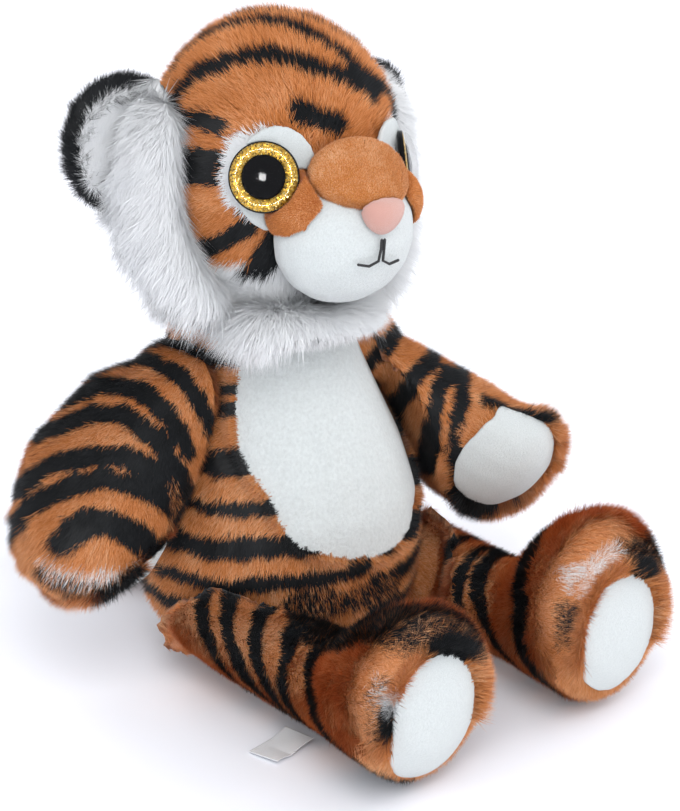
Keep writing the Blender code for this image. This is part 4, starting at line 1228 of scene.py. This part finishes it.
class TIGER_OT_face(bpy.types.Operator):
    """Makes the muzzle, the bridge, the nose, the mouth and the patches under the eyes."""

    bl_idname = "tiger.face"
    bl_label = "Face"

    def execute(self, context):
        muzzle = stuffed_form("muzzle_plush", ("muzzle",), 0.0004, voxel=0.0011, smooth=30)
        dress(muzzle, "white_plush", "head", "white_plush")
        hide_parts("muzzle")
        bridge = stuffed_form("bridge_velboa", ("muzzle_bridge",), 0.0003, voxel=0.0009, smooth=8)
        shape_bridge(bridge)
        dress(bridge, "orange_velboa", "head", "orange_velboa")
        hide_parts("muzzle_bridge")
        set_velboa(bridge, 0.6, (0, 1, 0.6))
        nap(bridge, "bridge_nap", "head", "orange_velboa", STRANDS["bridge"], 0.02)
        for side in SIDES:
            lobe = stuffed_form(
                f"side_velboa_{side}", (f"muzzle_side_{side}",), 0.0001, voxel=0.0009, smooth=25,
            )
            # Painted shade: the lobes wear a darker copy of the bridge's velboa, and their strands a darker
            # tone.
            dress(lobe, "deep_velboa", "head", "orange_velboa")
            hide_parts(f"muzzle_side_{side}")
            set_velboa(lobe, 0.5, (0, 1, -0.4), clear=(f"eye_back_{side}",))
            nap(lobe, f"side_nap_{side}", "head", "orange_velboa", STRANDS["lobe"], -0.05)
            patch = stuffed_form(f"eye_plush_{side}", (f"eye_patch_{side}",), -0.0004, voxel=0.0005, smooth=4)
            dress(patch, "white_plush", "head", "white_plush")
            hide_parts(f"eye_patch_{side}")
        nose = stuffed_form("nose_velour", ("nose",), 0.0001, voxel=0.0007, smooth=6)
        shape_nose(nose)
        dress(nose, "nose_velour", "head", "nose_velour")
        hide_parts("nose")
        for side in SIDES:
            finish_node(f"mouth_stitch_{side}", "black_thread")
        return {"FINISHED"}


# Eyes: each piece's name, node, finish, and the outline that is spun, as radius and height in millimetres

PUPIL_RADIUS, PUPIL_RISE = 7.4, 1.6
DOME_RADIUS, DOME_FOOT, DOME_RISE = 11.1, 0.7, 3.4
EYE_SEGMENTS = 72
EYE_PIECES = (
    ("eye_rim", "eye_back", "black_plastic", (
        (0.0, -2.0), (11.4, -2.0), (12.0, -1.4), (12.0, -0.4), (11.8, -0.1), (11.6, -0.1), (11.5, -0.4),
        (0.0, -0.4),
    )),
    ("eye_ring", "eye_glitter", "gold_glitter", (
        (7.5, -0.3), (11.5, -0.3), (11.4, 0.0), (7.5, 0.5), (7.5, -0.3),
    )),
    ("eye_black", "eye_pupil", "black_plastic", (
        (0.0, -0.3), (PUPIL_RADIUS, -0.3),
        *((PUPIL_RADIUS * share, PUPIL_RISE - share**2) for share in (1.0, 0.85, 0.7, 0.55, 0.4, 0.25, 0.12)),
        (0.0, PUPIL_RISE),
    )),
    ("eye_clear", "eye_dome", "clear_plastic", (
        (0.0, 2.0), (10.4, DOME_FOOT),
        *((DOME_RADIUS * math.cos(turn), DOME_FOOT + DOME_RISE * math.sin(turn))
          for turn in (math.pi / 2 * index / 12 for index in range(12))),
        (0.0, DOME_FOOT + DOME_RISE),
    )),
)


def turned_piece(name, outline, matrix):
    """A round piece spun from an outline of radius and height, in millimetres, and put in place."""
    mesh = bmesh.new()
    made = [mesh.verts.new((radius / MM_PER_M, 0, height / MM_PER_M)) for radius, height in outline]
    edges = [mesh.edges.new(pair) for pair in zip(made, made[1:])]
    bmesh.ops.spin(
        mesh, geom=made + edges, cent=(0, 0, 0), axis=(0, 0, 1), angle=2 * math.pi,
        steps=EYE_SEGMENTS, use_merge=True,
    )
    bmesh.ops.remove_doubles(mesh, verts=mesh.verts, dist=0.000005)
    bmesh.ops.recalc_face_normals(mesh, faces=mesh.faces)
    bmesh.ops.transform(mesh, matrix=matrix, verts=mesh.verts)
    return as_object(mesh, name)


class TIGER_OT_eyes(bpy.types.Operator):
    """Makes each eye: rimmed back, glitter ring, pupil and clear dome."""

    bl_idname = "tiger.eyes"
    bl_label = "Eyes"

    def execute(self, context):
        for side in SIDES:
            for name, node, material, outline in EYE_PIECES:
                piece = turned_piece(f"{name}_{side}", outline, eye_seat(side))
                dress(piece, material, "head", material)
                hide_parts(f"{node}_{side}")
            finish_node(f"eye_washer_{side}", "loose_fibre")
        return {"FINISHED"}


# Ears

EAR_SCALE = 0.87


def lay_ear(form, root, dark, pile, lean, stand):
    """Draws an ear's form in towards its root and lays its coat, combed out from its middle."""
    place_all(form, root + (places(form) - root) * EAR_SCALE)
    rows = places(form)
    flow = rows - rows.mean(0) + np.array(lean)
    set_coat(form, dark, 1.0 - dark, pile, laid(form, flow, stand))


class TIGER_OT_ears(bpy.types.Operator):
    """Makes the ears, black behind and white and hollow in front."""

    bl_idname = "tiger.ears"
    bl_label = "Ears"

    def execute(self, context):
        for side, sign in SIDES.items():
            back = stuffed_form(f"ear_form_{side}", (f"ear_back_{side}",), 0.0004, voxel=0.0010, smooth=5)
            rows = places(back)
            root = rows[np.argsort(np.linalg.norm(rows - HEAD_CENTRE, axis=1))[:len(rows) // 8]].mean(0)
            lay_ear(back, root, 1.0, 0.0066, (-sign * 0.010, 0.004, 0.012), 0.50)
            dress(back, "coat_ground", "head", "black_pile")
            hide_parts(f"ear_back_{side}")
            add_pile(back, f"ear_pile_{side}", "head", "black_pile", STRANDS["ear"], 11, clump=1.1, blend=0.0)
            lining = stuffed_form(
                f"ear_lining_form_{side}", (f"ear_lining_{side}",), 0.0004, voxel=0.0009, smooth=5,
            )
            lay_ear(lining, root, 0.0, 0.0064, (-sign * 0.008, 0.0, 0.010), 0.42)
            dress(lining, "coat_ground", "head", "white_long_pile")
            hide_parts(f"ear_lining_{side}")
            add_pile(
                lining, f"lining_pile_{side}", "head", "white_long_pile", STRANDS["lining"], 13,
                clump=0.7, blend=0.0,
            )
        return {"FINISHED"}


# Ruff: each piece's rise and reach forwards against its solid, in metres, and its strands

RUFF_PIECES = {
    "cheek_ruff_right": (0.0070, 0.0, 72000),
    "cheek_ruff_left": (0.0070, 0.0, 72000),
    "chin_ruff": (0.0040, 0.0040, 78000),
}
FRINGE_STRANDS = 7000


class TIGER_OT_ruff(bpy.types.Operator):
    """Makes the long white ruff round the cheeks and under the chin."""

    bl_idname = "tiger.ruff"
    bl_label = "Ruff"

    def execute(self, context):
        length = sizes().ruff_pile
        for name, (rise, reach, count) in RUFF_PIECES.items():
            form = stuffed_form(f"{name}_form", (name,), 0.0016, voxel=0.0013, smooth=5)
            push(form, np.array((0.0, 0.0, -1.0)), -rise, 1.0)
            push(form, np.array((0.0, -1.0, 0.0)), reach, 1.0)
            rows = places(form)
            low = -head_frame(rows)[:, 2]
            out = rows - HEAD_CENTRE
            flow = np.column_stack((out[:, 0] * 14, out[:, 1] * 8 + 0.1, -np.ones(len(rows))))
            pile = length * (0.80 - 0.15 * step(low, 30.0, 12.0))
            set_coat(form, 0.0, 1.0, pile, laid(form, flow, 0.34))
            dress(form, "coat_ground", "head", "white_long_pile")
            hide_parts(name)
            add_pile(form, f"{name}_pile", "head", "white_long_pile", count, 17, clump=0.9, blend=0.0)
            fringe = step(low, 12.0, 14.0) * step(np.abs(unit(out)[:, 0]), 0.45, 0.3)
            add_fluff(
                form, name, fringe, length * 1.2, FRINGE_STRANDS, 29, "head", "white_long_pile", clump=1.5,
            )
        return {"FINISHED"}


# Limbs and tail


def limb_axis(joint, node):
    """A limb's joint and the unit direction from it to the middle of the node."""
    pivot = np.array(next(item["pos_m"] for item in frame["joints"] if item["name"] == joint))
    return pivot, direction(places(frame["nodes"][node]).mean(0) - pivot)


def along_share(form, pivot, along):
    """How far each vertex is along its limb, from 0 at the joint to 1 at the far end."""
    reach = (places(form) - pivot) @ along
    return reach / reach.max()


def limb_coat(limb, rows, pivot, along):
    """Where a limb is black and where it is pale."""
    across = direction(np.cross(along, TOWARDS_VIEW))
    flat = np.column_stack(((rows - pivot) @ across, (rows - pivot) @ along)) * MM_PER_M
    wobble = waves(rows, 260.0) * 0.7 + waves(rows, 800.0, 4.0) * 0.5
    dark = marked(striped(flat, LIMB_BANDS[limb], wobble), rows, DARK_MARKS[limb], wobble * 1.5)
    return dark, marked(rows[:, 0] * 0, rows, PALE_MARKS[limb], wobble * 1.5)


def finish_limb(form, limb, side, pivot, along, pile, flow, stand, fluff):
    """Gives an arm or a leg its striped coat, its loose tufts and its pad."""
    pad, count, nap_count, seed, fluff_seed, tone = LIMB_COATS[limb]
    body, pad_node = f"{limb}_{side}", f"{pad}_pad_{side}"
    rows = places(form)
    dark, pale = limb_coat(body, rows + normals(form) * LIMB_TOP, pivot, along)
    bare, away = pad_gap(rows, pad_node)
    density = step(bare, 0.0002, COAT_EDGE)
    set_coat(form, dark, pale, pile, laid(form, turned_away(flow, bare, away), stand), density)
    dress(form, "coat_ground", body, "tiger_pile")
    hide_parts(f"{limb}_skin_{side}", f"{limb}_filling_{side}")
    add_pile(form, f"{body}_pile", body, "tiger_pile", count, seed + SIDES[side], tone=tone)
    add_fluff(form, body, density * fluff, sizes().fluff_pile, LIMB_FLUFF, fluff_seed)
    patch = cloth_patch(form, f"{pad}_plush_{side}", pad_gap, pad_node, 0.0008, 0.0024)
    dress(patch, "white_plush", body, "white_plush")
    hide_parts(pad_node)
    nap(patch, f"{pad}_nap_{side}", body, "white_plush", nap_count)


# How far the arms' and legs' forms are moved against their solids, in metres
RIGHT_ARM_FULLER, RIGHT_PAW_SLIMMER = 0.0070, 0.0030
LEFT_ARM_LOWER, LEFT_PAW_WIDER = 0.0080, 0.0035
LEFT_FOOT_HIGHER, LEGS_SLIMMER = 0.0085, 0.0042


def shape_arm(form, side, share):
    """Makes each arm as full as it is in the photo, where one reaches down and the other forwards."""
    paw = step(share, 0.80, 0.12)
    if side == "right":
        middle = step(share, 0.12, 0.16) * (1 - step(share, 0.66, 0.20))
        push(form, direction(VIEW_UP - VIEW_RIGHT), RIGHT_ARM_FULLER, middle)
        push(form, -VIEW_RIGHT, -RIGHT_PAW_SLIMMER, paw)
        push(form, -VIEW_UP, -RIGHT_PAW_SLIMMER, paw)
    else:
        middle = step(share, 0.10, 0.10) * (1 - step(share, 0.85, 0.20))
        push(form, VIEW_UP, -LEFT_ARM_LOWER, middle)
        push(form, VIEW_RIGHT, LEFT_PAW_WIDER, paw)


class TIGER_OT_arms(bpy.types.Operator):
    """Makes the arms with their stripes and palm pads."""

    bl_idname = "tiger.arms"
    bl_label = "Arms"

    def execute(self, context):
        for side in SIDES:
            pivot, along = limb_axis(f"shoulder_{side}", f"arm_filling_{side}")
            nodes = (f"arm_skin_{side}", f"arm_filling_{side}", f"palm_pad_{side}")
            form = stuffed_form(f"arm_{side}_form", nodes, 0.0034, [(tuple(pivot + along * 0.004), 0.0175)])
            shape_arm(form, side, along_share(form, pivot, along))
            share = along_share(form, pivot, along)
            pile = sizes().limb_pile * (0.9 + 0.45 * step(share, 0.86, 0.20))
            flow = np.tile(along, (len(share), 1)) + np.array((0, 0, -0.25))
            finish_limb(form, "arm", side, pivot, along, pile, flow, STAND, step(share, 0.84, 0.14))
        return {"FINISHED"}


class TIGER_OT_legs(bpy.types.Operator):
    """Makes the legs with their stripes, fluffy feet and sole pads."""

    bl_idname = "tiger.legs"
    bl_label = "Legs"

    def execute(self, context):
        for side in SIDES:
            pivot, along = limb_axis(f"hip_{side}", f"leg_filling_{side}")
            along = direction((along[0], along[1], 0.0))
            nodes = (f"leg_skin_{side}", f"leg_filling_{side}", f"sole_pad_{side}")
            form = stuffed_form(f"leg_{side}_form", nodes, 0.0030, [(tuple(pivot), 0.0150)], smooth=16)
            share = along_share(form, pivot, along)
            if side == "left":
                push(form, VIEW_UP, LEFT_FOOT_HIGHER, step(share, 0.62, 0.20))
            upright = step(0.95 - np.abs(normals(form)[:, 2]), 0.0, 0.15)
            push(form, -direction(VIEW_UP + VIEW_RIGHT * 0.6), -LEGS_SLIMMER, upright)
            rows = places(form)
            foot = step(share, 0.84, 0.12)
            under = on_floor(rows, 0.004)
            low = step(0.022 - rows[:, 2], 0.0, 0.01)
            pile = sizes().limb_pile * (1.0 + 0.40 * foot) * (1 - 0.65 * under) * (1 - 0.4 * low)
            flow = np.tile(along, (len(rows), 1))
            flow[:, 2] += 0.25 * foot * np.sign(rows[:, 2] - 0.025)
            fluff = step(share, 0.80, 0.14) * step(rows[:, 2], 0.030, 0.015)
            finish_limb(form, "leg", side, pivot, along, pile, flow, STAND - 0.38 * under, fluff)
        return {"FINISHED"}


TAIL_RINGS = 6.0
RING_SHARE = 0.42


class TIGER_OT_tail(bpy.types.Operator):
    """Makes the ringed tail."""

    bl_idname = "tiger.tail"
    bl_label = "Tail"

    def execute(self, context):
        pivot, along = limb_axis("tail_turn", "tail_filling")
        form = stuffed_form(
            "tail_form", ("tail_skin", "tail_filling"), 0.0022, [(tuple(pivot), 0.0080)], voxel=0.0014,
        )
        rows = places(form)
        phase = (along_share(form, pivot, along) + waves(rows, 300.0) * 0.02) * TAIL_RINGS
        dark = step(np.cos(2 * np.pi * phase), math.cos(math.pi * RING_SHARE), 0.45)
        under = on_floor(rows, 0.003)
        comb = laid(form, np.tile(along, (len(rows), 1)), 0.46 - 0.32 * under)
        set_coat(form, dark, 0.0, sizes().limb_pile * (1 - 0.7 * under), comb)
        dress(form, "coat_ground", "tail", "tiger_pile")
        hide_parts("tail_skin", "tail_filling")
        add_pile(form, "tail_pile", "tail", "tiger_pile", STRANDS["tail"], 41)
        return {"FINISHED"}


# Trim

LABEL_LENGTH, LABEL_WIDTH, LABEL_THICKNESS = 0.0190, 0.0127, 0.0002
LABEL_HEIGHT = 0.0010


class TIGER_OT_trim(bpy.types.Operator):
    """Makes the blank sewn-in label and finishes the loose end of thread."""

    bl_idname = "tiger.trim"
    bl_label = "Trim"

    def execute(self, context):
        rows = places(frame["nodes"]["sewn_label"])
        centre = rows.mean(0)
        long_way, short_way, _ = flat_axes(rows)
        mesh = bmesh.new()
        bmesh.ops.create_grid(mesh, x_segments=40, y_segments=24, size=0.5)
        for vertex in mesh.verts:
            u, v = vertex.co.x, vertex.co.y
            curl = 0.0010 * math.sin(u * 5.2 + 0.6) * (0.4 + v) + 0.0016 * max(0.0, u) ** 2 * 4
            spot = centre + long_way * u * LABEL_LENGTH + short_way * v * LABEL_WIDTH
            vertex.co = (spot[0], spot[1], LABEL_HEIGHT + abs(curl))
        wall = {"thickness": LABEL_THICKNESS, "offset": 1.0}
        label = with_modifiers(as_object(mesh, "blank_label"), ("SOLIDIFY", wall))
        dress(label, "label_satin", "leg_right", "label_satin")
        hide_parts("sewn_label")
        finish_node("seam_thread", "white_thread")
        return {"FINISHED"}


# Stage: the camera, then each light's name, place, power as a share of a setting, and size

CAMERA_AIM = Vector((0.0162, -0.0268, 0.0907))
CAMERA_TURN, CAMERA_RISE, CAMERA_DISTANCE = math.radians(-40), math.radians(23), 1.002
CAMERA_LENS, SENSOR_WIDTH = 124, 36
LIGHT_AIM = Vector((0.0, -0.02, 0.11))
LIGHTS = (
    ("key_light", (-0.55, -0.75, 1.05), "key_power", 1.0, 0.60),
    ("fill_light", (0.95, -0.55, 0.70), "fill_power", 1.0, 0.80),
    ("front_light", (-0.35, -1.05, 0.30), "fill_power", 1.0, 0.80),
    ("catch_light", (-1.08, -0.68, 0.62), "fill_power", 4.0, 0.22),
    ("rim_light", (0.10, 0.90, 0.90), "fill_power", 1.0, 0.70),
)


class TIGER_OT_stage(bpy.types.Operator):
    """Makes the floor, the lights, the surround and the camera."""

    bl_idname = "tiger.stage"
    bl_label = "Stage"

    def execute(self, context):
        settings = context.scene.tiger_stage
        mesh = bmesh.new()
        bmesh.ops.create_grid(mesh, x_segments=8, y_segments=8, size=3.0)
        floor = as_object(mesh, "floor")
        floor.data.materials.append(finish("floor"))
        world = bpy.data.worlds.new("surround")
        context.scene.world = world
        world.use_nodes = True
        backdrop = world.node_tree.nodes["Background"]
        backdrop.inputs[0].default_value = (0.96, 0.97, 1.0, 1.0)
        backdrop.inputs[1].default_value = settings.sky_strength
        for name, place, power, share, size in LIGHTS:
            data = bpy.data.lights.new(name, "AREA")
            data.energy = getattr(settings, power) * share
            data.size = size
            light = linked(name, data)
            light.location = place
            light.rotation_euler = (LIGHT_AIM - Vector(place)).to_track_quat("-Z", "Y").to_euler()
            light.visible_glossy = name == "catch_light"
            light.visible_diffuse = name != "catch_light"
        away = Vector((
            math.sin(CAMERA_TURN) * math.cos(CAMERA_RISE), -math.cos(CAMERA_TURN) * math.cos(CAMERA_RISE),
            math.sin(CAMERA_RISE),
        ))
        data = bpy.data.cameras.new("photo_camera")
        data.lens = CAMERA_LENS
        data.sensor_width = SENSOR_WIDTH
        data.sensor_fit = "AUTO"
        data.clip_start = 0.05
        camera = linked("photo_camera", data)
        camera.location = CAMERA_AIM + away * CAMERA_DISTANCE
        camera.rotation_euler = (-away).to_track_quat("-Z", "Y").to_euler()
        context.scene.camera = camera
        context.scene.view_settings.view_transform = "Standard"
        return {"FINISHED"}


OPERATORS = (
    TIGER_OT_torso, TIGER_OT_head, TIGER_OT_face, TIGER_OT_eyes, TIGER_OT_ears, TIGER_OT_ruff,
    TIGER_OT_arms, TIGER_OT_legs, TIGER_OT_tail, TIGER_OT_trim, TIGER_OT_stage,
)


class TIGER_PT_panel(bpy.types.Panel):
    """Lists the tiger's sizes, colours and pieces."""

    bl_label = "Plush tiger"
    bl_idname = "TIGER_PT_panel"
    bl_space_type = "VIEW_3D"
    bl_region_type = "UI"
    bl_category = "Plush tiger"

    def draw(self, context):
        layout = self.layout
        for group in (context.scene.tiger_sizes, context.scene.tiger_colours, context.scene.tiger_stage):
            box = layout.box()
            for name in group.bl_rna.properties.keys():
                if name not in ("rna_type", "name"):
                    box.prop(group, name)
        for operator in OPERATORS:
            layout.operator(operator.bl_idname)


CLASSES = (TigerSizes, TigerColours, TigerStage, *OPERATORS, TIGER_PT_panel)


def register():
    for item in CLASSES:
        bpy.utils.register_class(item)
    bpy.types.Scene.tiger_sizes = bpy.props.PointerProperty(type=TigerSizes)
    bpy.types.Scene.tiger_colours = bpy.props.PointerProperty(type=TigerColours)
    bpy.types.Scene.tiger_stage = bpy.props.PointerProperty(type=TigerStage)


def unregister():
    for name in ("tiger_sizes", "tiger_colours", "tiger_stage"):
        delattr(bpy.types.Scene, name)
    for item in reversed(CLASSES):
        bpy.utils.unregister_class(item)


def main():
    register()
    for operator in OPERATORS:
        group, name = operator.bl_idname.split(".")
        getattr(getattr(bpy.ops, group), name)()
    bpy.data.objects.remove(bpy.data.objects[BLADE], do_unlink=True)


if __name__ == "__main__":
    main()
